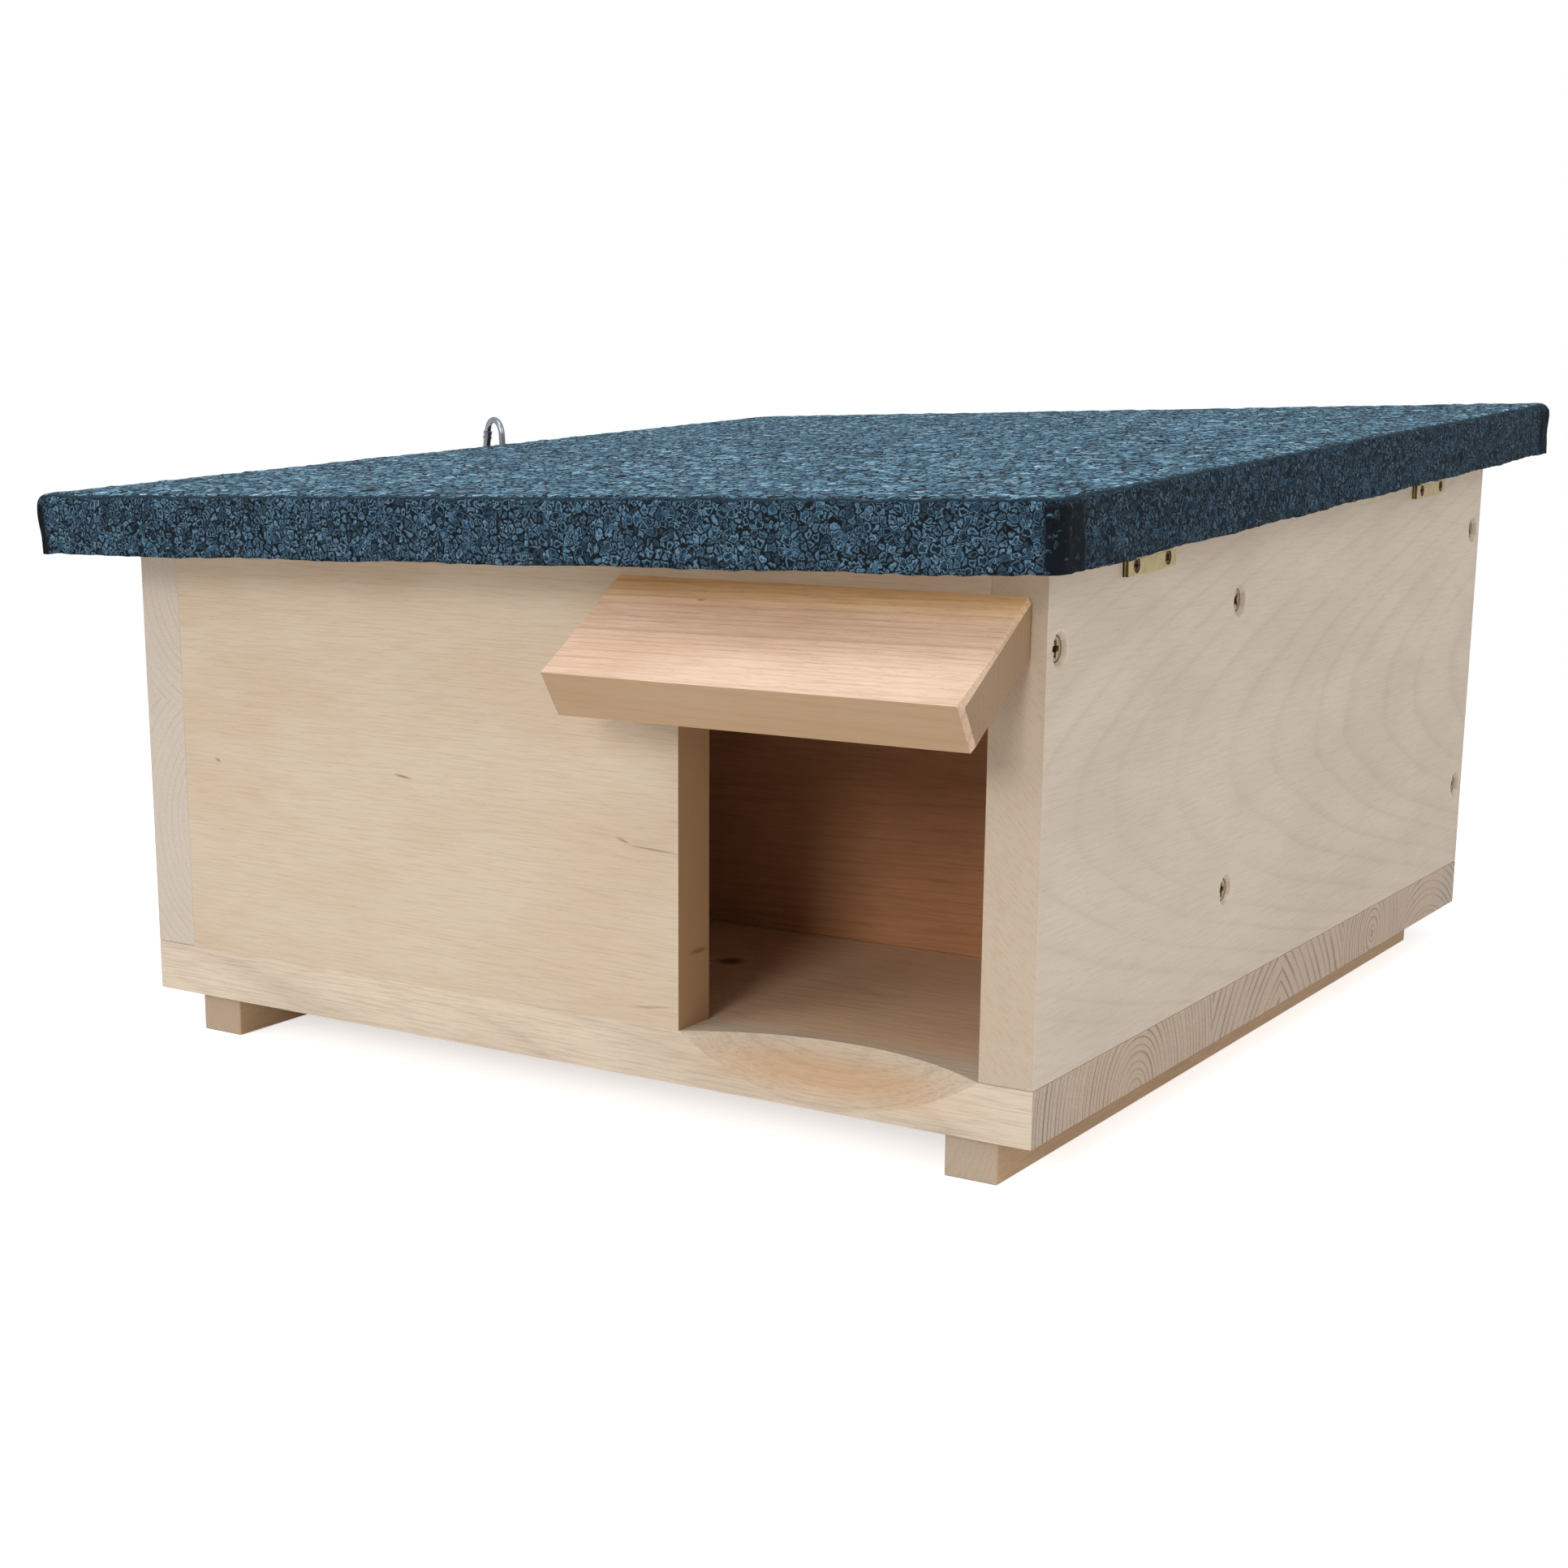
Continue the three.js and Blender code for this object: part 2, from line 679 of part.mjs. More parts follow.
function addHookBody() {
  const halfTongue = tongueThickness / 2;
  const halfRivet = gateRadius + rivetClearance;
  const boreRadius = rivetRadius + rivetClearance;
  const tongue = block(
    vector(pivot.x - hookWireRadius, bottomCentre - 2 * hookWireRadius, -halfTongue),
    vector(pivot.x + hookWireRadius, pivot.y, halfTongue),
  );
  const body = joined([hookWire(), tongue, across(hookWireRadius, halfTongue, pivot, screwSides)]);
  addPart(hook, 'hook_body', body.subtract(across(boreRadius, 2 * gateRadius, pivot, wireSides)), steel);

  const heads = across(rivetHeadRadius, halfRivet + rivetHeadHeight, pivot, wireSides);
  const between = across(2 * rivetHeadRadius, halfRivet, pivot, wireSides);
  const shank = across(rivetRadius, halfRivet + rivetHeadHeight, pivot, wireSides);
  addPart(hook, 'gate_rivet', heads.subtract(between).add(shank), steel);
}

// The gate: a rod with a forked foot, a collar at the nose and a band under it, hollow for its spring
function addGate() {
  const origin = vector(0, 0, 0);
  const collarLow = gateLength - gateCollarHeight;
  const bandHigh = collarLow - gateBandHeight;
  const halfSlot = tongueThickness / 2 + tongueGap;
  const slotTop = hookWireRadius + tongueGap;
  const springLow = slotTop + gateSpringRadius;
  const springRoom = springLow + gateSpringLength + gateSpringRadius;
  const rod = joined([
    along(gateRadius, 0, gateLength, screwSides),
    along(gateCollarRadius, collarLow, gateLength, screwSides),
    along(gateCollarRadius, bandHigh - gateBandHeight, bandHigh, screwSides),
    across(gateRadius, gateRadius, origin, screwSides),
  ]);
  const slot = block(vector(-overrun, -overrun, -halfSlot), vector(overrun, slotTop, halfSlot));
  const bore = across(rivetRadius + rivetClearance, 2 * gateRadius, origin, wireSides);
  const hollow = along(gateBoreRadius, 0, springRoom, screwSides);
  addPart(gate, 'hook_gate', rod.subtract(slot).subtract(bore).subtract(hollow), steel);

  const count = gateSpringTurns * wireSides;
  const coil = Array.from({ length: count + 1 }, (unused, i) => {
    const angle = 2 * Math.PI * i / wireSides;
    const height = springLow + gateSpringLength * i / count;
    return vector(gateSpringRadius * Math.cos(angle), height, gateSpringRadius * Math.sin(angle));
  });
  addPart(gate, 'gate_spring', tube(coil, gateSpringWire, count, gateSpringSides), steel);
}

// Screw eye: a flat ring outside the left wall, just under the hook's lowest point
const hookFoot = vector(hookBottomRadius, hookHigh - hookLength, 0).applyMatrix4(hookFrame);
hookFoot.applyMatrix4(roofFrame);
const eyeMiddle = vector(-eyeReach, hookFoot.y, hookFoot.z - eyeStandGap - eyeWireRadius);

function eyeShank(radius, inner, outer) {
  const geometry = new THREE.CylinderGeometry(radius, radius, inner - outer, screwSides);
  geometry.rotateZ(Math.PI / 2);
  return solidOf(geometry.translate((inner + outer) / 2, eyeMiddle.y, eyeMiddle.z));
}

function eyeHole() {
  return eyeShank(eyeWireRadius + eyeClearance, eyeDepth + eyeClearance, -overrun);
}

function addWallEye() {
  const ring = new THREE.TorusGeometry(eyeRingRadius, eyeWireRadius, wireSides, eyeSteps);
  ring.translate(eyeMiddle.x, eyeMiddle.y, eyeMiddle.z);
  const shank = eyeShank(eyeWireRadius, eyeDepth, eyeRingRadius - eyeReach);
  addPart(assembly, 'wall_eye', solidOf(ring).add(shank), steel);
}

addFloor();
addSideWalls();
addPanels();
addRunners();
addCanopy();
addRoof();
addHinges();
addHookBody();
addGate();
addWallEye();

// Places the assembly so that its footprint is centred on the origin and it stands on the ground
const bounds = new THREE.Box3().setFromObject(house, true);
const middle = bounds.getCenter(vector(0, 0, 0));
assembly.position.set(-middle.x, -middle.y, -bounds.min.z);
house.updateMatrixWorld(true);

// Where the moving pieces turn or slide, with their travel in degrees or millimetres
lid.userData.hinge = { at: axisInRoof, axis: back, degrees: lidOpenAngle };
hook.userData.slide = { axis: back, millimetres: hookLift };
gate.userData.hinge = { at: vector(0, 0, 0), axis: up, degrees: gateOpenAngle };

export default house;
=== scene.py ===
"""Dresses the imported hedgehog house: planed boards, mineral felt, screws, hinges and spring hook.

Lengths in the named values are millimetres, measured in the house's own corner frame: X from the
left wall's outer face, Y from the front, Z from the floor's underside. MM turns them to metres.
"""

import math

import bpy
import numpy as np
from mathutils import Matrix, Vector


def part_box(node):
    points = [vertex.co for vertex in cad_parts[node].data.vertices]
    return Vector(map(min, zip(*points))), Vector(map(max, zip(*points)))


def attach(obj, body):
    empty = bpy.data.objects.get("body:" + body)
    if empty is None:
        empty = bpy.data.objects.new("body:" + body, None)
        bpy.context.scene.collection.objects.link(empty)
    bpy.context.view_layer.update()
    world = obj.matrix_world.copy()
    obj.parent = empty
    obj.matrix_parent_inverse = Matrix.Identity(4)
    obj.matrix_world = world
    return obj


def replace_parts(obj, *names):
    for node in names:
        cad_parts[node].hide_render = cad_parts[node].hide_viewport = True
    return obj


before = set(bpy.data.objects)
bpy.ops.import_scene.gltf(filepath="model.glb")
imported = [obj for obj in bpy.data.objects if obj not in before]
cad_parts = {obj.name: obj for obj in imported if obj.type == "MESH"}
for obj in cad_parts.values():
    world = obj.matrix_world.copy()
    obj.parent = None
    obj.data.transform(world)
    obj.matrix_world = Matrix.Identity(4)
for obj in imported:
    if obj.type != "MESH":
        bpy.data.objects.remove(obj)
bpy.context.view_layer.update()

bl_info = {
    "name": "Hedgehog House Dresser",
    "version": (1, 0, 0),
    "blender": (4, 5, 0),
    "location": "3D View > Sidebar > House",
    "description": "Gives a hedgehog house its wood, felt, metal and studio",
    "category": "Object",
}

MM = 0.001

# Box and roof, as built
BODY_WIDTH = 400.0
BODY_DEPTH = 470.0
ROOF_CORNER_HEIGHT = 192.3
ROOF_RISE_ACROSS = 9.6
ROOF_RISE_BACK = 20.7
ROOF_SIDE_OVERHANG = 20.0
ROOF_END_OVERHANG = 35.4
ROOF_THICKNESS = 23.3

# Camera, fitted to the photograph's edges: place, turn, and focal length and centre in pixels
CAMERA_PLACE = (727.02, -695.19, 248.06)
CAMERA_YAW = 0.5785
CAMERA_PITCH = -0.2239
CAMERA_ROLL = 0.0017
CAMERA_FOCAL_PIXELS = 2976.1
CAMERA_CENTRE_PIXELS = (873.6, 1145.1)
PHOTO_PIXELS = 1932.0
SENSOR = 36.0


def linear(code):
    """The linear colour of an sRGB hex code."""
    parts = [int(code[i : i + 2], 16) / 255 for i in (1, 3, 5)]
    return (*(c / 12.92 if c <= 0.04045 else ((c + 0.055) / 1.055) ** 2.4 for c in parts), 1.0)


wall_low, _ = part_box("left_wall")
floor_low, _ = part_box("floor_board")
CORNER = Vector((wall_low.x, wall_low.y, floor_low.z))


def place(x, y, z):
    """A point of the corner frame, in metres in the part's frame."""
    return CORNER + Vector((x, y, z)) * MM


# Roof frame: origin on the underside over the right wall's outer face, Y along the hinges
ROOF_NORMAL = Vector((-ROOF_RISE_ACROSS / BODY_WIDTH, -ROOF_RISE_BACK / BODY_DEPTH, 1)).normalized()
ROOF_ALONG = Vector((0, 1, ROOF_RISE_BACK / BODY_DEPTH)).normalized()
ROOF_ACROSS = ROOF_ALONG.cross(ROOF_NORMAL)
ROOF_AXES = np.array([ROOF_ACROSS, ROOF_ALONG, ROOF_NORMAL])
ROOF_ORIGIN = np.array(place(BODY_WIDTH, 0, ROOF_CORNER_HEIGHT))
ROOF_LEFT = -BODY_WIDTH - ROOF_SIDE_OVERHANG
ROOF_BACK = BODY_DEPTH + ROOF_END_OVERHANG


def from_roof(points):
    """Rows of roof-frame millimetres as rows of metres in the part's frame."""
    return ROOF_ORIGIN + np.asarray(points) * MM @ ROOF_AXES


class WoodSettings(bpy.types.PropertyGroup):
    """Sizes and colours of the planed boards."""

    fibre: bpy.props.FloatProperty(
        name="Fibre width",
        description="Width of the fine streaks along the grain",
        default=0.7 * MM,
        unit="LENGTH",
    )
    edge: bpy.props.FloatProperty(
        name="Eased edge",
        description="Width of the sanded edge of each board",
        default=0.6 * MM,
        unit="LENGTH",
    )
    front: bpy.props.FloatVectorProperty(
        name="Front colour",
        description="Pale wood of the front panel",
        default=linear("#c0b09b"),
        size=4,
        subtype="COLOR",
    )
    floor: bpy.props.FloatVectorProperty(
        name="Floor colour",
        description="Pale wood of the floor",
        default=linear("#c9b9a4"),
        size=4,
        subtype="COLOR",
    )
    side: bpy.props.FloatVectorProperty(
        name="Side colour",
        description="Pale wood of the side walls",
        default=linear("#d0c2b0"),
        size=4,
        subtype="COLOR",
    )
    # The partition's colour is partly its own browner wood and partly painted shade: the warm, dim light
    # inside the house
    inner: bpy.props.FloatVectorProperty(
        name="Inner colour",
        description="Browner wood of the partition",
        default=linear("#bf875f"),
        size=4,
        subtype="COLOR",
    )
    canopy: bpy.props.FloatVectorProperty(
        name="Canopy colour",
        description="Pinkish wood of the canopy",
        default=linear("#dec3ab"),
        size=4,
        subtype="COLOR",
    )
    # The runners' colour is partly their own browner wood and partly painted shade of their shaded sides
    runner: bpy.props.FloatVectorProperty(
        name="Runner colour",
        description="Browner wood of the runners",
        default=linear("#bda07e"),
        size=4,
        subtype="COLOR",
    )


class FeltSettings(bpy.types.PropertyGroup):
    """Sizes and colours of the roofing felt."""

    flake: bpy.props.FloatProperty(
        name="Flake size",
        description="Size of the slate flakes",
        default=2.9 * MM,
        unit="LENGTH",
    )
    sheet: bpy.props.FloatProperty(
        name="Sheet thickness",
        description="Thickness of the felt",
        default=2.8 * MM,
        unit="LENGTH",
    )
    wave: bpy.props.FloatProperty(
        name="Edge wave",
        description="How far the felt's edges wander",
        default=0.35 * MM,
        unit="LENGTH",
    )
    bitumen: bpy.props.FloatVectorProperty(
        name="Bitumen colour",
        description="Near-black ground between the flakes",
        default=linear("#0d1217"),
        size=4,
        subtype="COLOR",
    )


class MetalSettings(bpy.types.PropertyGroup):
    """Colours of the hardware."""

    zinc: bpy.props.FloatVectorProperty(
        name="Yellow zinc",
        description="Wood screws",
        default=linear("#a8977a"),
        size=4,
        subtype="COLOR",
    )
    brass: bpy.props.FloatVectorProperty(
        name="Brass",
        description="Hinge leaves and pins",
        default=linear("#aa9a72"),
        size=4,
        subtype="COLOR",
    )
    bronze: bpy.props.FloatVectorProperty(
        name="Bronze",
        description="Hinge screws",
        default=linear("#432917"),
        size=4,
        subtype="COLOR",
    )
    steel: bpy.props.FloatVectorProperty(
        name="Bright zinc",
        description="Spring hook and wall eye",
        default=linear("#85888b"),
        size=4,
        subtype="COLOR",
    )


def add(tree, kind, links=(), stops=(), **settings):
    """Adds a node with its settings, with its sockets linked or set, and a ramp's stops.

    Links are a list for the first sockets in order, or give each socket by its number or name.
    """
    made = tree.nodes.new(kind)
    for name, value in settings.items():
        setattr(made, name, value)
    named = links if isinstance(links, dict) else dict(enumerate(links))
    for socket, value in named.items():
        target = made.inputs[socket]
        if isinstance(value, bpy.types.NodeSocket):
            tree.links.new(value, target)
        else:
            target.default_value = value
    for i, (position, colour) in enumerate(stops):
        elements = made.color_ramp.elements
        stop = elements[i] if i < 2 else elements.new(position)
        stop.position = position
        stop.color = colour
    return made


# Settings of nodes that are used often: a range passed through softly, and a mix of two colours
SMOOTH = {"interpolation_type": "SMOOTHSTEP"}
COLOUR = {"data_type": "RGBA"}


def tint(tree, shade, pattern, span, colour):
    """Mixes a colour into the shade by a pattern, whose value gives the colour's share.

    Span is (pattern's low and high values, the shares there). The share is held outside it.
    """
    share = add(tree, "ShaderNodeMapRange", [pattern, *span], **SMOOTH).outputs[0]
    return add(tree, "ShaderNodeMix", {0: share, 6: shade, 7: colour}, **COLOUR).outputs[2]


def blank(name):
    """An empty material with its tree."""
    material = bpy.data.materials.new(name)
    material.use_nodes = True
    material.node_tree.nodes.clear()
    return material, material.node_tree


def grey(level):
    """A grey for a ramp's stop."""
    return (level, level, level, 1.0)


# A board's look where it has no other: colours of late wood and ends, and how strongly each shows
PLAIN_LOOK = {
    "late": "#a07c58",
    "end": "#b7a898",
    "face_lines": 0.12,
    "end_lines": 0.3,
    "end_tint": 0.8,
    "wander": 6.0,
    "pores": 0.1,
    "clouds": 0.16,
    "flecks": 0.12,
    "fibres": 0.24,
    "browned": None,
    "sawn": None,
}


class Board:
    """How a board was cut from the log and how its wood looks.

    Grain and width are directions. Each stave is (far edge across the board, heart across, heart
    through, ring spacing), in millimetres from the board's centre: the heart is where the growth
    rings' middle lies. Each mark is a small knot or streak: its place in the corner frame, its
    half sizes along, across and through the grain, its turn, how strong it is and its colour.
    Warmed-and-lit is (middle across, near, far, colour, share): away from the middle, between
    near and far, the wood passes to or from the colour. It is painted light: the floor's inside is
    painted lighter and warmer, and the canopy's upper edge paler against the roof's shade over its
    own warmer wood. Shaded face is a face's direction, with the colour and strength of the painted
    shade laid on faces that look that way.
    """

    def __init__(self, node, grain, width, staves, taper=0.05, lean=0.0, marks=(), **look):
        corner_low, corner_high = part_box(node)
        self.node = node
        self.centre = (corner_low + corner_high) / 2
        self.grain = Vector(grain).normalized()
        self.width = Vector(width).normalized()
        self.thickness = self.grain.cross(self.width)
        self.staves = staves
        self.taper = taper
        self.lean = lean
        self.marks = marks
        for name, value in {**PLAIN_LOOK, **look}.items():
            setattr(self, name, value)

    def turn(self):
        """The turn from (grain, width, thickness) to the part's axes."""
        return Matrix((self.grain, self.width, self.thickness)).transposed().to_euler()

    def inside(self, point):
        """A place of the corner frame as (along, across, through) in the board, in millimetres."""
        away = (place(*point) - self.centre) / MM
        return tuple(away.dot(axis) for axis in (self.grain, self.width, self.thickness))


def staircase(tree, across, edges, levels):
    """A value that steps from one stave's level to the next where across passes an edge."""
    total = levels[0]
    for edge, before, after in zip(edges, levels, levels[1:]):
        past = add(tree, "ShaderNodeMath", [across, edge], operation="GREATER_THAN").outputs[0]
        step = [past, after - before, total]
        total = add(tree, "ShaderNodeMath", step, operation="MULTIPLY_ADD").outputs[0]
    return total


# Wood figure: lengths of the rings' wander, the fibres, pores and clouds, and the relief. Real fibres
# and pores are under 0.1 wide and wouldn't show, so they are drawn as coarse as a pixel or two
WANDER_LENGTH = 260.0
WANDER_WIDTH = 60.0
UNEVEN_RATE = 0.45
UNEVEN_SHARE = 1.3
FADE_LENGTH = 120.0
FADE_WIDTH = 26.0
FIBRE_STRETCH = 26.0
FLECK_TURN = 0.8
FLECK_LENGTH = 5.0
FLECK_WIDTH = 0.7
PORE_LENGTH = 5.0
PORE_WIDTH = 0.32
CLOUD_LENGTH = 75.0
CLOUD_WIDTH = 30.0
GRAIN_DEPTH = 0.05
PORE_SINK = 0.5
PORE_COLOUR = "#6b4a2f"
KNOT_COLOUR = "#54341c"

# Wood figure: each pattern's low and high values, between which it passes from none to its full share
END_FACING = (0.6, 0.9)
# Facing at which a face takes the painted shade
SHADE_FACING = (0.9, 0.97)
CLOUD_SPAN = (0.36, 0.7)
FLECK_SPAN = (0.45, 0.7)
FIBRE_SPAN = (0.42, 0.68)
PORE_SPAN = (0.6, 0.72)
KNOT_SPAN = (0.25, 1.0)
FADE_SPAN = (0.3, 0.62, 0.35, 1.0)
WOOD_ROUGHNESS = (0.3, 0.7, 0.56, 0.7)

# One growth ring, from its start to its end: (part of the ring, how dark)
RING_TONES = [(0.0, 0.2), (0.14, 0.0), (0.7, 0.06), (0.93, 1.0), (1.0, 0.2)]


def noise_at(tree, local, along, across, detail, **links):
    """Noise stretched to a length along the grain and a width across it, in millimetres."""
    rates = (1 / along, 1 / across, 1 / across)
    scaled = add(tree, "ShaderNodeVectorMath", [local, rates], operation="MULTIPLY")
    noise = {"Vector": scaled.outputs[0], "Scale": 1.0, "Detail": detail, **links}
    return add(tree, "ShaderNodeTexNoise", noise)


def growth_line(tree, board, local, axes):
    """How strongly late wood shows: 1 on a ring's dark line, 0 in the pale wood between.

    Ring number = (distance from the heart + taper times the way along the grain) / ring spacing,
    with the distance shifted by slow noise. The fractional part of the number gives the line.
    """
    wander = noise_at(tree, local, WANDER_LENGTH, WANDER_WIDTH, 2.0).outputs["Color"]
    wander = add(tree, "ShaderNodeVectorMath", [wander, (0.5,) * 3], operation="SUBTRACT").outputs[0]
    moved = [wander, (0.0, board.wander, board.wander), local]
    moved = add(tree, "ShaderNodeVectorMath", moved, operation="MULTIPLY_ADD").outputs[0]
    moved = add(tree, "ShaderNodeSeparateXYZ", [moved]).outputs
    edges = [stave[0] for stave in board.staves[:-1]]
    heart_across, heart_through, spacing = (
        staircase(tree, axes[1], edges, [stave[i] for stave in board.staves]) for i in (1, 2, 3)
    )
    heart = [axes[0], board.lean, heart_across]
    heart = add(tree, "ShaderNodeMath", heart, operation="MULTIPLY_ADD").outputs[0]
    across = add(tree, "ShaderNodeMath", [moved[1], heart], operation="SUBTRACT").outputs[0]
    through = add(tree, "ShaderNodeMath", [moved[2], heart_through], operation="SUBTRACT").outputs[0]
    from_heart = add(tree, "ShaderNodeCombineXYZ", {1: across, 2: through}).outputs[0]
    radius = add(tree, "ShaderNodeVectorMath", [from_heart], operation="LENGTH").outputs["Value"]
    tapered = [axes[0], board.taper, radius]
    tapered = add(tree, "ShaderNodeMath", tapered, operation="MULTIPLY_ADD").outputs[0]
    rings = add(tree, "ShaderNodeMath", [tapered, spacing], operation="DIVIDE").outputs[0]
    rate = add(tree, "ShaderNodeMath", [rings, UNEVEN_RATE], operation="MULTIPLY").outputs[0]
    uneven = {"W": rate, "Scale": 1.0, "Detail": 1.0}
    uneven = add(tree, "ShaderNodeTexNoise", uneven, noise_dimensions="1D").outputs["Fac"]
    part = [uneven, UNEVEN_SHARE, rings]
    part = add(tree, "ShaderNodeMath", part, operation="MULTIPLY_ADD").outputs[0]
    part = add(tree, "ShaderNodeMath", [part], operation="FRACT").outputs[0]
    stops = [(at, grey(level)) for at, level in RING_TONES]
    line = add(tree, "ShaderNodeValToRGB", [part], stops).outputs[0]
    fade = noise_at(tree, local, FADE_LENGTH, FADE_WIDTH, 1.0).outputs["Fac"]
    fade = add(tree, "ShaderNodeMapRange", [fade, *FADE_SPAN], **SMOOTH).outputs[0]
    return add(tree, "ShaderNodeMath", [line, fade], operation="MULTIPLY").outputs[0]


def planed_wood(name, board, colour, wood):
    """Planed, unfinished hardwood, cut from a log: faint growth lines, fibres, pores and clouds.

    Long faces show the lines as stripes or arches. Ends, where the fibres stand on edge, are
    duller and show them as arcs. Warmed-and-lit boards pass to a warmer, lighter colour about a
    line along them: painted light. A shaded face is painted darker with shade.
    """
    material, tree = blank(name)
    coords = add(tree, "ShaderNodeTexCoord").outputs
    mapping = {
        "Vector": coords["Object"],
        "Location": board.centre,
        "Rotation": board.turn(),
        "Scale": (MM, MM, MM),
    }
    local = add(tree, "ShaderNodeMapping", mapping, vector_type="TEXTURE").outputs[0]
    axes = add(tree, "ShaderNodeSeparateXYZ", [local]).outputs
    facing = [coords["Normal"], board.grain]
    facing = add(tree, "ShaderNodeVectorMath", facing, operation="DOT_PRODUCT").outputs["Value"]
    facing = add(tree, "ShaderNodeMath", [facing], operation="ABSOLUTE").outputs[0]
    end = add(tree, "ShaderNodeMapRange", [facing, *END_FACING], **SMOOTH).outputs[0]

    fibre_width = wood.fibre / MM
    fibre = noise_at(tree, local, fibre_width * FIBRE_STRETCH, fibre_width, 3.0, Roughness=0.65)
    fibre = fibre.outputs["Fac"]
    pore = noise_at(tree, local, PORE_LENGTH, PORE_WIDTH, 1.0).outputs["Fac"]
    cloud = noise_at(tree, local, CLOUD_LENGTH, CLOUD_WIDTH, 3.0).outputs["Fac"]
    late = linear(board.late)
    shade = tint(tree, colour, cloud, (*CLOUD_SPAN, 0.0, board.clouds), late)
    # Painted light: about a line along the board, the warmer, lighter colour of its lit part
    if board.browned:
        middle, near, far, warm, share = board.browned
        away = add(tree, "ShaderNodeMath", [axes[1], middle], operation="SUBTRACT").outputs[0]
        away = add(tree, "ShaderNodeMath", [away], operation="ABSOLUTE").outputs[0]
        shade = tint(tree, shade, away, (near, far, 0.0, share), linear(warm))
    dull = add(tree, "ShaderNodeMath", [end, board.end_tint], operation="MULTIPLY").outputs[0]
    shade = {0: dull, 6: shade, 7: linear(board.end)}
    shade = add(tree, "ShaderNodeMix", shade, **COLOUR).outputs[2]
    gain = [end, board.end_lines - board.face_lines, board.face_lines]
    gain = add(tree, "ShaderNodeMath", gain, operation="MULTIPLY_ADD").outputs[0]
    line = growth_line(tree, board, local, axes)
    line = add(tree, "ShaderNodeMath", [line, gain], operation="MULTIPLY").outputs[0]
    shade = add(tree, "ShaderNodeMix", {0: line, 6: shade, 7: late}, **COLOUR).outputs[2]
    turned = {0: local, "Angle": FLECK_TURN, "Axis": (1.0, 0.0, 0.0)}
    turned = add(tree, "ShaderNodeVectorRotate", turned).outputs[0]
    rates = (1 / FLECK_LENGTH, 1 / FLECK_LENGTH, 1 / FLECK_WIDTH)
    fleck = add(tree, "ShaderNodeVectorMath", [turned, rates], operation="MULTIPLY").outputs[0]
    fleck = add(tree, "ShaderNodeTexNoise", {"Vector": fleck, "Scale": 1.0, "Detail": 2.0}).outputs["Fac"]
    fleck = [fleck, *FLECK_SPAN, 0.0, board.flecks]
    fleck = add(tree, "ShaderNodeMapRange", fleck, **SMOOTH).outputs[0]
    fleck = add(tree, "ShaderNodeMath", [fleck, end], operation="MULTIPLY").outputs[0]
    shade = add(tree, "ShaderNodeMix", {0: fleck, 6: shade, 7: late}, **COLOUR).outputs[2]
    shade = tint(tree, shade, fibre, (*FIBRE_SPAN, 0.0, board.fibres), late)
    shade = tint(tree, shade, pore, (*PORE_SPAN, 0.0, board.pores), linear(PORE_COLOUR))
    # Painted shade: faces that look the given way are darkened towards a duller colour
    if board.sawn:
        way, code, share = board.sawn
        sawn = [coords["Normal"], Vector(way).normalized()]
        sawn = add(tree, "ShaderNodeVectorMath", sawn, operation="DOT_PRODUCT").outputs["Value"]
        shade = tint(tree, shade, sawn, (*SHADE_FACING, 0.0, share), linear(code))
    for point, half, angle, share, *code in board.marks:
        shade = knot(tree, local, shade, board.inside(point), half, angle, share, *code)

    sunk = add(tree, "ShaderNodeMapRange", [pore, *PORE_SPAN], **SMOOTH).outputs[0]
    sunk = add(tree, "ShaderNodeMath", [sunk, PORE_SINK], operation="MULTIPLY").outputs[0]
    height = add(tree, "ShaderNodeMath", [fibre, sunk], operation="SUBTRACT").outputs[0]
    bump = {"Strength": 0.3, "Distance": GRAIN_DEPTH * MM, "Height": height}
    bump = add(tree, "ShaderNodeBump", bump).outputs[0]
    rough = add(tree, "ShaderNodeMapRange", [fibre, *WOOD_ROUGHNESS]).outputs[0]
    surface = {"Base Color": shade, "Roughness": rough, "Specular IOR Level": 0.25, "Normal": bump}
    surface = add(tree, "ShaderNodeBsdfPrincipled", surface).outputs[0]
    add(tree, "ShaderNodeOutputMaterial", [surface])
    return material


def knot(tree, local, shade, centre, half, angle, share, code=KNOT_COLOUR):
    """Tints a small knot, resin streak or warm patch: an ellipsoid that fades to its rim."""
    mapping = {"Vector": local, "Location": centre, "Rotation": (0.0, 0.0, angle), "Scale": half}
    mapped = add(tree, "ShaderNodeMapping", mapping, vector_type="TEXTURE").outputs[0]
    away = add(tree, "ShaderNodeVectorMath", [mapped], operation="LENGTH").outputs["Value"]
    return tint(tree, shade, away, (*KNOT_SPAN, share, 0.0), linear(code))


# Felt: the flakes' bend and gaps, the small chips (crumbs) among them, their relief and tones
FLAKE_WARP = 3.2
FLAKE_WARP_LENGTH = 2.4
FLAKE_GAP_SHARE = 0.26
CHIP_SHARE = 0.42
# Painted highlight along each flake's rim: its width, its share from flake to flake, and its colour
RIM_HIGHLIGHT_WIDTH = 0.13
RIM_HIGHLIGHT_SHARES = (0.08, 0.72)
RIM_HIGHLIGHT_COLOUR = "#6f93ab"
CRUMB_SHARE = 0.4
CRUMB_RELIEF = 0.25
SMALLEST_GAP = 0.03
RIM_SPAN = (0.25, 1.0)
BARE_SPAN = (0.7, 0.9, 1.0, 0.5)
TOP_FACING = (0.55, 0.95)
RIGHT_FACING = (0.6, 0.9)
# Painted shade: how far the right-facing side is darkened towards the bitumen colour
RIGHT_SHADE_SHARE = 0.3
FLAKE_RELIEF = 1.1
SIDE_TONES = [(0.0, "#0a131b"), (1.0, "#4c6d84"), (0.35, "#111e28"), (0.55, "#1a2b37"), (0.78, "#294153")]
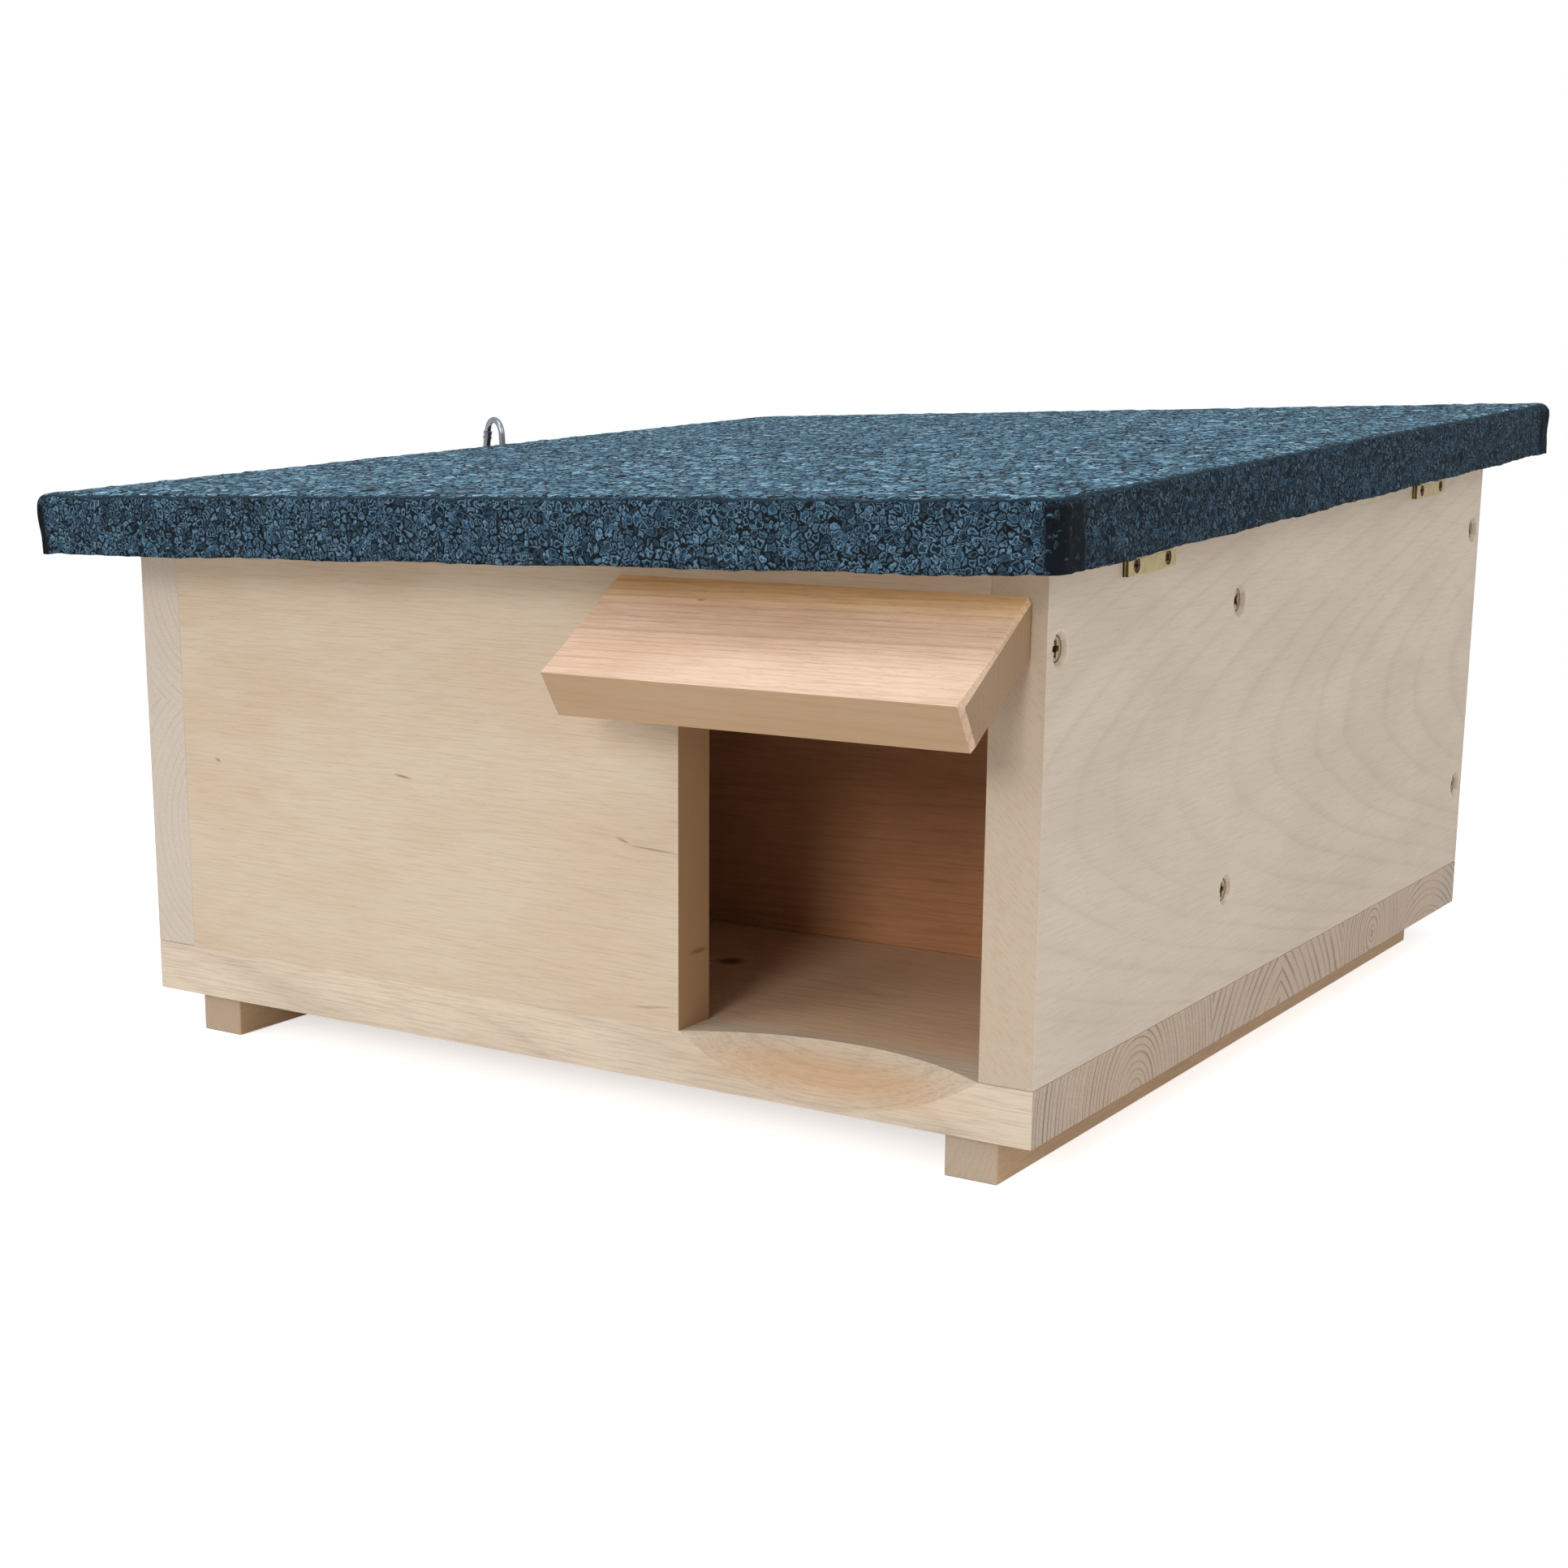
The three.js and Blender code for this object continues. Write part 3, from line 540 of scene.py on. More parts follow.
# Painted sheen: paler tones for the top, standing in for light the flakes catch at a grazing angle
SHEEN_TOP_TONES = [(0.0, "#162f3e"), (1.0, "#bedfee"), (0.3, "#395d72"), (0.5, "#5c869b"), (0.75, "#85afc4")]
TOP_SPREAD = 0.75


def slate_felt(name, felt):
    """Bitumen roofing felt faced with slate flakes: blue-grey chips pressed into near-black ground.

    Flakes and the smaller chips between them are cells of bent Voronoi patterns. Each flake,
    wider where it lies flat on the top, has its own tone and a painted highlight along its
    outline, and its rim sinks to the bitumen. The top is painted paler, a painted sheen of light
    caught at a grazing angle; the right side is painted darker with shade; and where the sheet
    was folded at a corner the bitumen shows through.
    """
    material, tree = blank(name)
    coords = add(tree, "ShaderNodeTexCoord").outputs
    to_mm = {"Vector": coords["Object"], "Scale": (MM, MM, MM)}
    local = add(tree, "ShaderNodeMapping", to_mm, vector_type="TEXTURE").outputs[0]
    bend = {"Vector": local, "Scale": 1 / FLAKE_WARP_LENGTH, "Detail": 2.0}
    bend = add(tree, "ShaderNodeTexNoise", bend).outputs["Color"]
    bend = add(tree, "ShaderNodeVectorMath", [bend, (0.5,) * 3], operation="SUBTRACT").outputs[0]
    bent = [bend, (FLAKE_WARP,) * 3, local]
    bent = add(tree, "ShaderNodeVectorMath", bent, operation="MULTIPLY_ADD").outputs[0]
    up = [coords["Normal"], ROOF_NORMAL]
    up = add(tree, "ShaderNodeVectorMath", up, operation="DOT_PRODUCT").outputs["Value"]
    up = add(tree, "ShaderNodeMapRange", [up, *TOP_FACING], **SMOOTH).outputs[0]
    rate = [up, 0.0, 1.0, MM / felt.flake, TOP_SPREAD * MM / felt.flake]
    rate = add(tree, "ShaderNodeMapRange", rate, **SMOOTH).outputs[0]
    cells = {"Vector": bent, "Scale": rate}
    flakes = add(tree, "ShaderNodeTexVoronoi", cells).outputs["Color"]
    rims = add(tree, "ShaderNodeTexVoronoi", cells, feature="DISTANCE_TO_EDGE").outputs["Distance"]
    small = {"Vector": bent, "Scale": MM / (felt.flake * CHIP_SHARE)}
    crumbs = add(tree, "ShaderNodeTexVoronoi", small).outputs["Color"]
    tones = add(tree, "ShaderNodeSeparateColor", [flakes]).outputs
    crumb = add(tree, "ShaderNodeSeparateColor", [crumbs]).outputs[0]

    tone = add(tree, "ShaderNodeMath", [tones[0], 1 - CRUMB_SHARE], operation="MULTIPLY").outputs[0]
    tone = add(tree, "ShaderNodeMath", [crumb, CRUMB_SHARE, tone], operation="MULTIPLY_ADD").outputs[0]
    side, top = (
        add(tree, "ShaderNodeValToRGB", [tone], [(at, linear(code)) for at, code in stops]).outputs[0]
        for stops in (SIDE_TONES, SHEEN_TOP_TONES)
    )
    # Painted sheen: where the felt faces up it takes the paler top tones
    shade = add(tree, "ShaderNodeMix", {0: up, 6: side, 7: top}, **COLOUR).outputs[2]
    gap = [tones[1], FLAKE_GAP_SHARE, SMALLEST_GAP]
    gap = add(tree, "ShaderNodeMath", gap, operation="MULTIPLY_ADD").outputs[0]
    # Painted highlight: a paler band just inside each flake's rim, where light catches its raised edge
    past = add(tree, "ShaderNodeMath", [rims, gap], operation="SUBTRACT").outputs[0]
    outline = add(tree, "ShaderNodeMapRange", [past, 0.0, RIM_HIGHLIGHT_WIDTH, 1.0, 0.0], **SMOOTH).outputs[0]
    highlight_strength = add(tree, "ShaderNodeMapRange", [tones[2], 0.0, 1.0, *RIM_HIGHLIGHT_SHARES]).outputs[0]
    outline = add(tree, "ShaderNodeMath", [outline, highlight_strength], operation="MULTIPLY").outputs[0]
    shade = {0: outline, 6: shade, 7: linear(RIM_HIGHLIGHT_COLOUR)}
    shade = add(tree, "ShaderNodeMix", shade, **COLOUR).outputs[2]
    # Painted shade: the right-facing side is darkened towards the bitumen colour
    across = add(tree, "ShaderNodeSeparateXYZ", [coords["Normal"]]).outputs[0]
    shade = tint(tree, shade, across, (*RIGHT_FACING, 0.0, RIGHT_SHADE_SHARE), felt.bitumen)
    rim = add(tree, "ShaderNodeMath", [rims, gap], operation="DIVIDE").outputs[0]
    rim = add(tree, "ShaderNodeMapRange", [rim, *RIM_SPAN], **SMOOTH).outputs[0]
    rim = add(tree, "ShaderNodeMath", [1.0, rim], operation="SUBTRACT").outputs[0]
    bare = add(tree, "ShaderNodeAttribute", attribute_name="bare").outputs["Fac"]
    worn = add(tree, "ShaderNodeMapRange", [tone, *BARE_SPAN], **SMOOTH).outputs[0]
    bare = add(tree, "ShaderNodeMath", [bare, worn], operation="MULTIPLY").outputs[0]
    dark = add(tree, "ShaderNodeMath", [rim, bare], operation="MAXIMUM").outputs[0]
    shade = add(tree, "ShaderNodeMix", {0: dark, 6: shade, 7: felt.bitumen}, **COLOUR).outputs[2]
    height = add(tree, "ShaderNodeMapRange", [rims, 0.0, 2 * FLAKE_GAP_SHARE], **SMOOTH).outputs[0]
    height = add(tree, "ShaderNodeMath", [tones[2], height], operation="MULTIPLY").outputs[0]
    height = [crumb, CRUMB_RELIEF, height]
    height = add(tree, "ShaderNodeMath", height, operation="MULTIPLY_ADD").outputs[0]
    bump = {"Strength": 1.0, "Distance": FLAKE_RELIEF * MM, "Height": height}
    bump = add(tree, "ShaderNodeBump", bump).outputs[0]
    surface = {"Base Color": shade, "Roughness": 0.85, "Specular IOR Level": 0.08, "Normal": bump}
    surface = add(tree, "ShaderNodeBsdfPrincipled", surface).outputs[0]
    add(tree, "ShaderNodeOutputMaterial", [surface])
    return material


# Painted shade: its colour, and the dark lines on the hinge leaves' front ends, out from the wall: a
# painted shadow line along the wall and a painted shaded edge
PAINTED_SHADE_COLOUR = "#3a2212"
LEAF_SHADE_LINES = (0.3, 1.5)
SHADE_LINE_HALF_WIDTH = 0.4

# Metal: where its duller patches show, its front ends, its spread of gloss, and the roughness under painted
# shade
PATCH_SPAN = (0.4, 0.8)
FRONT_FACING = (-0.6, -0.8)
GLOSSIER = 0.08
DULLER = 0.12
PAINTED_SHADE_ROUGHNESS = 0.9
UNSHADED_SPECULAR = 0.5


def plated_metal(name, colour, roughness, grain=0.8, tarnish="#6f5a38", tarnish_share=0.25, shade_lines=()):
    """Plated steel or brass: metallic, softly uneven in gloss, a little duller in patches.

    Where a piece has the painted-shade attribute (the screws' recesses and rims), painted shade
    darkens it and makes it rough and not metallic. Shade lines are painted shade across its front
    ends, at distances out from the right wall: a shadow line along the wall and a shaded edge.
    """
    material, tree = blank(name)
    coords = add(tree, "ShaderNodeTexCoord").outputs
    to_mm = {"Vector": coords["Object"], "Scale": (MM, MM, MM)}
    local = add(tree, "ShaderNodeMapping", to_mm, vector_type="TEXTURE").outputs[0]
    patch = noise_at(tree, local, grain, grain, 4.0).outputs["Fac"]
    shade = tint(tree, colour, patch, (*PATCH_SPAN, 0.0, tarnish_share), linear(tarnish))
    # Painted shade, from the attribute: dark in the screws' recesses and on their rims
    painted_shade = add(tree, "ShaderNodeAttribute", attribute_name="painted_shade").outputs["Fac"]
    # Painted shade lines on the front ends: a shadow line along the wall and a shaded edge
    if shade_lines:
        out = add(tree, "ShaderNodeSeparateXYZ", [local]).outputs[0]
        front = add(tree, "ShaderNodeSeparateXYZ", [coords["Normal"]]).outputs[1]
        front = add(tree, "ShaderNodeMapRange", [front, *FRONT_FACING], **SMOOTH).outputs[0]
    for shade_line in shade_lines:
        away = [out, place(BODY_WIDTH + shade_line, 0, 0).x / MM]
        away = add(tree, "ShaderNodeMath", away, operation="SUBTRACT").outputs[0]
        away = add(tree, "ShaderNodeMath", [away], operation="ABSOLUTE").outputs[0]
        line = [away, SHADE_LINE_HALF_WIDTH, 0.5 * SHADE_LINE_HALF_WIDTH]
        line = add(tree, "ShaderNodeMapRange", line, **SMOOTH).outputs[0]
        line = add(tree, "ShaderNodeMath", [line, front], operation="MULTIPLY").outputs[0]
        painted_shade = add(tree, "ShaderNodeMath", [painted_shade, line], operation="MAXIMUM").outputs[0]
    # The painted shade darkens the colour; under it the metal is rough and not metallic
    shade = add(tree, "ShaderNodeMix", {0: painted_shade, 6: shade, 7: linear(PAINTED_SHADE_COLOUR)}, **COLOUR).outputs[2]
    rough = [patch, 0.0, 1.0, roughness - GLOSSIER, roughness + DULLER]
    rough = add(tree, "ShaderNodeMapRange", rough).outputs[0]
    unshaded = add(tree, "ShaderNodeMath", [1.0, painted_shade], operation="SUBTRACT").outputs[0]
    gloss = add(tree, "ShaderNodeMath", [unshaded, UNSHADED_SPECULAR], operation="MULTIPLY").outputs[0]
    shaded_roughness = add(tree, "ShaderNodeMath", [painted_shade, PAINTED_SHADE_ROUGHNESS], operation="MULTIPLY").outputs[0]
    rough = add(tree, "ShaderNodeMath", [rough, shaded_roughness], operation="MAXIMUM").outputs[0]
    surface = {"Base Color": shade, "Metallic": unshaded, "Roughness": rough, "Specular IOR Level": gloss}
    surface = add(tree, "ShaderNodeBsdfPrincipled", surface).outputs[0]
    add(tree, "ShaderNodeOutputMaterial", [surface])
    return material


def wear(node, material):
    """Gives a CAD node its material."""
    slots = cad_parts[node].data.materials
    slots.clear()
    slots.append(material)


# Eased edges: how near corners are joined, and how sharp an edge, in degrees, is rounded
JOIN_REACH = 0.01
SHARP_EDGE = 40


def ease_edges(node, width):
    """Rounds a board's edges a little, as sandpaper does, without touching its mesh."""
    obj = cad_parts[node]
    obj.modifiers.new("joined corners", "WELD").merge_threshold = JOIN_REACH * MM
    bevel = obj.modifiers.new("eased edges", "BEVEL")
    bevel.width = width
    bevel.segments = 2
    bevel.limit_method = "ANGLE"
    bevel.angle_limit = math.radians(SHARP_EDGE)


def quads(rows, columns, closed):
    """Quad indices of a grid of points, row by row, closed round each row or not."""
    last = columns if closed else columns - 1
    row, column = np.meshgrid(np.arange(rows - 1), np.arange(last), indexing="ij")
    after = (column + 1) % columns
    faces = [row * columns + column, row * columns + after]
    faces += [(row + 1) * columns + after, (row + 1) * columns + column]
    return np.stack(faces, axis=-1).reshape(-1, 4)


def new_piece(name, points, faces, material, body, smooth=True):
    """A piece from points in metres and lists of corners, with its material, body and slot."""
    mesh = bpy.data.meshes.new(name)
    mesh.from_pydata(np.asarray(points).tolist(), [], [list(map(int, face)) for face in faces])
    mesh.polygons.foreach_set("use_smooth", np.full(len(mesh.polygons), smooth))
    mesh.materials.append(material)
    mesh.update()
    piece = bpy.data.objects.new(name, mesh)
    bpy.context.scene.collection.objects.link(piece)
    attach(piece, body)
    return piece


# Felt tray: grid spacing, rounded edges and corners, and its unevenness
FELT_STEP = 2.8
FELT_EDGE_RADIUS = 3.4
FELT_EDGE_STEPS = 6
FELT_CORNER_RADIUS = 1.0
FELT_CORNER_STEPS = 4
FELT_SKIRT_STEPS = 9
FELT_SWELL = 0.4
FELT_SWELL_LENGTHS = (508.0, 628.0)
FELT_SWELL_PHASE = 0.6
FELT_SWELL_FADE = 30.0
FELT_SWELL_MIDDLE = 0.5
FELT_WAVE_LENGTHS = (61.0, 137.0, 23.0)
FELT_SAG = 0.25
FELT_SAG_LENGTH = 83.0
FELT_GRIT = 0.2
FELT_GRIT_LENGTHS = (5.0, 13.0)
FELT_GRIT_WAVES = 20
FOLD_REACH = 15.0
FOLD_LIP = 2.5
FOLD_FADE = 1.5
FOLD_THICKNESS = 0.7
HOOK_HOLE_RING = 7.0
HOOK_HOLE_RADIUS = 2.5
HOOK_SEAT = 8.5
HOOK_ALONG = 252.8
GATE_ROOM = 30.0
GATE_PRESS = 0.4


def grid_lines(low, high):
    """Places of grid lines between two edges: even, but closer within the corners' radius."""
    corner = np.linspace(0, FELT_CORNER_RADIUS, FELT_CORNER_STEPS + 1)[:-1]
    inner = high - low - 2 * FELT_CORNER_RADIUS
    middle = np.linspace(0, inner, round(inner / FELT_STEP) + 1) + FELT_CORNER_RADIUS
    return low + np.concatenate([corner, middle, (high - low) - corner[::-1]])


def round_corners(x, y, low, high, radius):
    """Moves the points of each corner's square into a quarter disc.

    With (u, v) the place in the square from the arc's centre, a point's distance from the centre
    becomes the larger of u and v.
    """
    centre_x = np.clip(x, low[0] + radius, high[0] - radius)
    centre_y = np.clip(y, low[1] + radius, high[1] - radius)
    u, v = x - centre_x, y - centre_y
    away = np.hypot(u, v)
    scale = np.where(away > 0, np.maximum(abs(u), abs(v)) / np.where(away > 0, away, 1), 1)
    return centre_x + u * scale, centre_y + v * scale


def open_hole(x, y):
    """Pushes the points round the hook's place outwards, to leave its hole.

    A distance d within the ring becomes hole radius + (1 - hole radius / ring) d.
    """
    u, v = x - ROOF_LEFT - HOOK_SEAT, y - HOOK_ALONG
    away = np.hypot(u, v)
    opened = HOOK_HOLE_RADIUS + (1 - HOOK_HOLE_RADIUS / HOOK_HOLE_RING) * away
    spread = np.where(away < HOOK_HOLE_RING, opened / away, 1)
    return ROOF_LEFT + HOOK_SEAT + u * spread, HOOK_ALONG + v * spread


def grit(points):
    """A small random height at each point: a sum of sines of random direction and length."""
    random = np.random.default_rng(7)
    ways = random.normal(size=(FELT_GRIT_WAVES, 3))
    ways /= np.linalg.norm(ways, axis=1, keepdims=True)
    lengths = random.uniform(*FELT_GRIT_LENGTHS, FELT_GRIT_WAVES)
    phases = random.uniform(0, 2 * np.pi, FELT_GRIT_WAVES)
    waves = np.sin(points @ (ways / lengths[:, None]).T * 2 * np.pi + phases)
    return FELT_GRIT * waves.sum(axis=-1) / math.sqrt(FELT_GRIT_WAVES)


def felt_top(low, high):
    """The top's grid of points: it swells by a product of sines of x and y, and is gritty."""
    x, y = np.meshgrid(grid_lines(low[0], high[0]), grid_lines(low[1], high[1]))
    x, y = round_corners(x, y, low, high, FELT_CORNER_RADIUS)
    x, y = open_hole(x, y)
    from_rim = np.minimum.reduce([x - low[0], high[0] - x, y - low[1], high[1] - y])
    across, along = (2 * np.pi / length for length in FELT_SWELL_LENGTHS)
    swell = np.sin(x * across) * np.cos(y * along + FELT_SWELL_PHASE)
    swell = swell * np.clip(from_rim / FELT_SWELL_FADE, 0, 1) - FELT_SWELL_MIDDLE
    top = np.stack([x, y, ROOF_THICKNESS + FELT_SWELL * swell], axis=-1)
    top[..., 2] += grit(top)
    return top


def felt_tray(name, felt, material):
    """The felt's outside: a grid over the top, whose rim is carried down round a profile.

    The profile is a quarter circle of the edge radius and then the skirt. The skirt wanders in
    and out by a sum of sines along the outline, growing downwards, but is pressed flat where the
    spring hook's gate swings towards it. Beside each corner, on the left and right, the folded
    sheet is thicker, and bare of flakes as far as the corner's lip. A thickness is then given
    inwards.
    """
    inset = FELT_EDGE_RADIUS
    low = (ROOF_LEFT + inset, -ROOF_END_OVERHANG + inset)
    high = (ROOF_SIDE_OVERHANG - inset, ROOF_BACK - inset)
    grid = felt_top(low, high)
    deep, wide = grid.shape[:2]
    top = grid.reshape(-1, 3)
    index = np.arange(wide * deep).reshape(deep, wide)
    rim = np.concatenate([index[0, :-1], index[:-1, -1], index[-1, :0:-1], index[:0:-1, 0]])
    ring = top[rim]
    along = (np.roll(ring, -1, axis=0) - np.roll(ring, 1, axis=0))[:, :2]
    outward = np.stack([along[:, 1], -along[:, 0], np.zeros(len(ring))], axis=-1)
    outward /= np.linalg.norm(outward, axis=-1, keepdims=True)
    steps = np.linalg.norm(np.diff(ring[:, :2], axis=0), axis=-1)
    passed = np.concatenate([[0], np.cumsum(steps)])
    wave = sum(np.sin(2 * np.pi * passed / length + length) for length in FELT_WAVE_LENGTHS) / 2
    from_gate = np.where(ring[:, 0] < low[0] + 1, abs(ring[:, 1] - HOOK_ALONG) / GATE_ROOM, 1)
    free = np.clip(from_gate, 0, 1)
    sag = FELT_SAG * np.sin(2 * np.pi * passed / FELT_SAG_LENGTH)
    from_corner = np.minimum(ring[:, 1] - low[1], high[1] - ring[:, 1])
    from_side = np.minimum(ring[:, 0] - low[0], high[0] - ring[:, 0])
    sideways = abs(outward[:, 0]) > 0.5
    fold = sideways * np.clip((FOLD_REACH - from_corner) / FOLD_FADE, 0, 1)
    lip = np.maximum(fold, ~sideways * np.clip(FOLD_LIP - from_side, 0, 1))

    turns = np.linspace(0, math.pi / 2, FELT_EDGE_STEPS + 1)[1:]
    downs = np.linspace(inset, ROOF_THICKNESS, FELT_SKIRT_STEPS + 1)[1:]
    reach = np.concatenate([inset * np.sin(turns), np.full(len(downs), inset)])
    drop = np.concatenate([inset * (1 - np.cos(turns)), downs])
    points, bare = [top], [np.zeros(len(top))]
    for out, fall in zip(reach, drop):
        part = (fall / ROOF_THICKNESS) ** 2
        folded = fold * min(fall / inset, 1)
        wander = (felt.wave / MM) * wave * part * free - GATE_PRESS * (1 - free)
        shift = out + wander + FOLD_THICKNESS * folded
        loop = ring + outward * shift[:, None] - np.array([0, 0, fall])
        loop[:, 2] += sag * part
        points.append(loop + outward * (grit(loop) * free)[:, None])
        bare.append(lip * min(fall / inset, 1))
    points = np.concatenate(points)

    cells = quads(deep, wide, False)
    middle = top[cells].mean(axis=1)
    hole = np.hypot(middle[:, 0] - ROOF_LEFT - HOOK_SEAT, middle[:, 1] - HOOK_ALONG) < HOOK_HOLE_RADIUS
    skirt = quads(len(drop) + 1, len(rim), True)
    numbers = np.concatenate([rim, np.arange(len(top), len(points))])
    faces = np.concatenate([cells[~hole], numbers[skirt][:, ::-1]])
    piece = new_piece(name, from_roof(points), faces, material, "lid")
    values = np.concatenate(bare)
    piece.data.attributes.new("bare", "FLOAT", "POINT").data.foreach_set("value", values)
    solid = piece.modifiers.new("sheet", "SOLIDIFY")
    solid.thickness = felt.sheet
    solid.offset = -1
    return piece


# Screws: their shapes from the tip to the recess, and how their heads face
SCREW_SIDES = 40
WOOD_SCREW = {"head": 4.5, "shank": 2.0, "cone": 2.6, "rim": 0.4, "span": 5.6, "slot": 1.5, "deep": 1.8}
HINGE_SCREW = {"head": 2.6, "shank": 1.2, "cone": 1.5, "rim": 0.2, "span": 3.2, "slot": 0.75, "deep": 0.8}
HEAD_RINGS = 18
RECESS_SOFTNESS = 0.25
# Painted shade on a screw head: its share on the rim, and the part of the radius where the rim starts
RIM_PAINTED_SHADE = 0.8
RIM_FROM = 0.84
HEAD_DOME = 0.12
TIP_RADIUS = 0.02
RECESS_TAPER = 0.5
TURN_BETWEEN = 2.4
SCREW_GROUPS = [
    ("floor_screws", "floor_screw_", (0, 0, -1), WOOD_SCREW, "house"),
    ("left_wall_screws", "left_wall_screw_", (-1, 0, 0), WOOD_SCREW, "house"),
    ("right_wall_screws", "right_wall_screw_", (1, 0, 0), WOOD_SCREW, "house"),
    ("left_runner_screws", "left_runner_screw_", (0, 0, -1), WOOD_SCREW, "house"),
    ("right_runner_screws", "right_runner_screw_", (0, 0, -1), WOOD_SCREW, "house"),
    ("canopy_screws", "canopy_screw_", (0, 1, 0), WOOD_SCREW, "house"),
    ("hinge_wall_screws", "hinge_wall_screw_", (1, 0, 0), HINGE_SCREW, "house"),
    ("hinge_lid_screws", "hinge_lid_screw_", tuple(-ROOF_NORMAL), HINGE_SCREW, "lid"),
]


def cross_recess(x, y, spec):
    """Depth of the cross recess: two arms with soft walls, deepest in the middle."""
    soft = RECESS_SOFTNESS
    half, thin = spec["span"] / 2, spec["slot"] / 2

    def arm(u, v):
        beside = np.clip((thin - abs(v)) / soft + 0.5, 0, 1)
        return beside * np.clip((half - abs(u)) / soft + 0.5, 0, 1)

    away = np.hypot(x, y) / half
    return spec["deep"] * np.maximum(arm(x, y), arm(y, x)) * (1 - RECESS_TAPER * np.clip(away, 0, 1))


def screw_points(spec, length, turn):
    """A lathe profile from the head's middle out, down the cone and shank to the tip.

    The head's rings are lowered by the recess, so that it is one surface with the head. Painted
    shade is 1 in the recess and high on the rim, where shade falls.
    """
    rings = np.linspace(TIP_RADIUS, 1, HEAD_RINGS) * spec["head"]
    dome = HEAD_DOME * (1 - (rings / spec["head"]) ** 2) - HEAD_DOME
    low = -spec["rim"] - spec["cone"]
    radii = np.concatenate([rings, [spec["head"], spec["shank"], spec["shank"], TIP_RADIUS]])
    heights = np.concatenate([dome, [-spec["rim"], low, spec["shank"] - length, -length]])
    angles = np.arange(SCREW_SIDES) / SCREW_SIDES * 2 * np.pi
    x, y = np.outer(radii, np.cos(angles)), np.outer(radii, np.sin(angles))
    z = np.repeat(heights[:, None], SCREW_SIDES, axis=1)
    recess = cross_recess(x[:HEAD_RINGS], y[:HEAD_RINGS], spec)
    z[:HEAD_RINGS] -= recess
    c, s = math.cos(turn), math.sin(turn)
    points = np.stack([c * x - s * y, s * x + c * y, z], axis=-1).reshape(-1, 3)
    faces = [face[::-1] for face in quads(len(radii), SCREW_SIDES, True).tolist()]
    last = (len(radii) - 1) * SCREW_SIDES
    faces += [list(range(SCREW_SIDES)), list(range(last + SCREW_SIDES - 1, last - 1, -1))]
    # Painted shade: full in the recess and high on the rim
    painted_shade = np.zeros(x.shape)
    painted_shade[:HEAD_RINGS] = np.clip(recess / RECESS_SOFTNESS, 0, 1)
    ring = np.clip(np.append(rings / spec["head"], 1) - RIM_FROM, 0, None) / (1 - RIM_FROM)
    rim = RIM_PAINTED_SHADE * np.clip(2 * ring, 0, 1)[:, None]
    painted_shade[: HEAD_RINGS + 1] = np.maximum(painted_shade[: HEAD_RINGS + 1], rim)
    return points, faces, painted_shade.ravel()


def screw_group(name, prefix, out, spec, body, material):
    """All the screws of one group as one piece, each standing where its CAD screw is."""
    out = Vector(out)
    turn = np.array(out.to_track_quat("Z", "Y").to_matrix())
    nodes = sorted(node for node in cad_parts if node.startswith(prefix))
    points, faces, painted_shades, count = [], [], [], 0
    for i, node in enumerate(nodes):
        low, high = (np.array(corner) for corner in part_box(node))
        length = np.max(high - low)
        local, corners, painted_shade = screw_points(spec, length / MM, i * TURN_BETWEEN)
        painted_shades.append(painted_shade)
        head = (low + high) / 2 + np.array(out) * length / 2
        points.append(local * MM @ turn.T + head)
        faces += [[corner + count for corner in face] for face in corners]
        count += len(local)
    piece = new_piece(name, np.concatenate(points), faces, material, body, smooth=False)
    values = np.concatenate(painted_shades)
    piece.data.attributes.new("painted_shade", "FLOAT", "POINT").data.foreach_set("value", values)
    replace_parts(piece, *nodes)
    return piece


# The far edge of a board's last stave, past the edge of every board
LAST_EDGE = 400.0


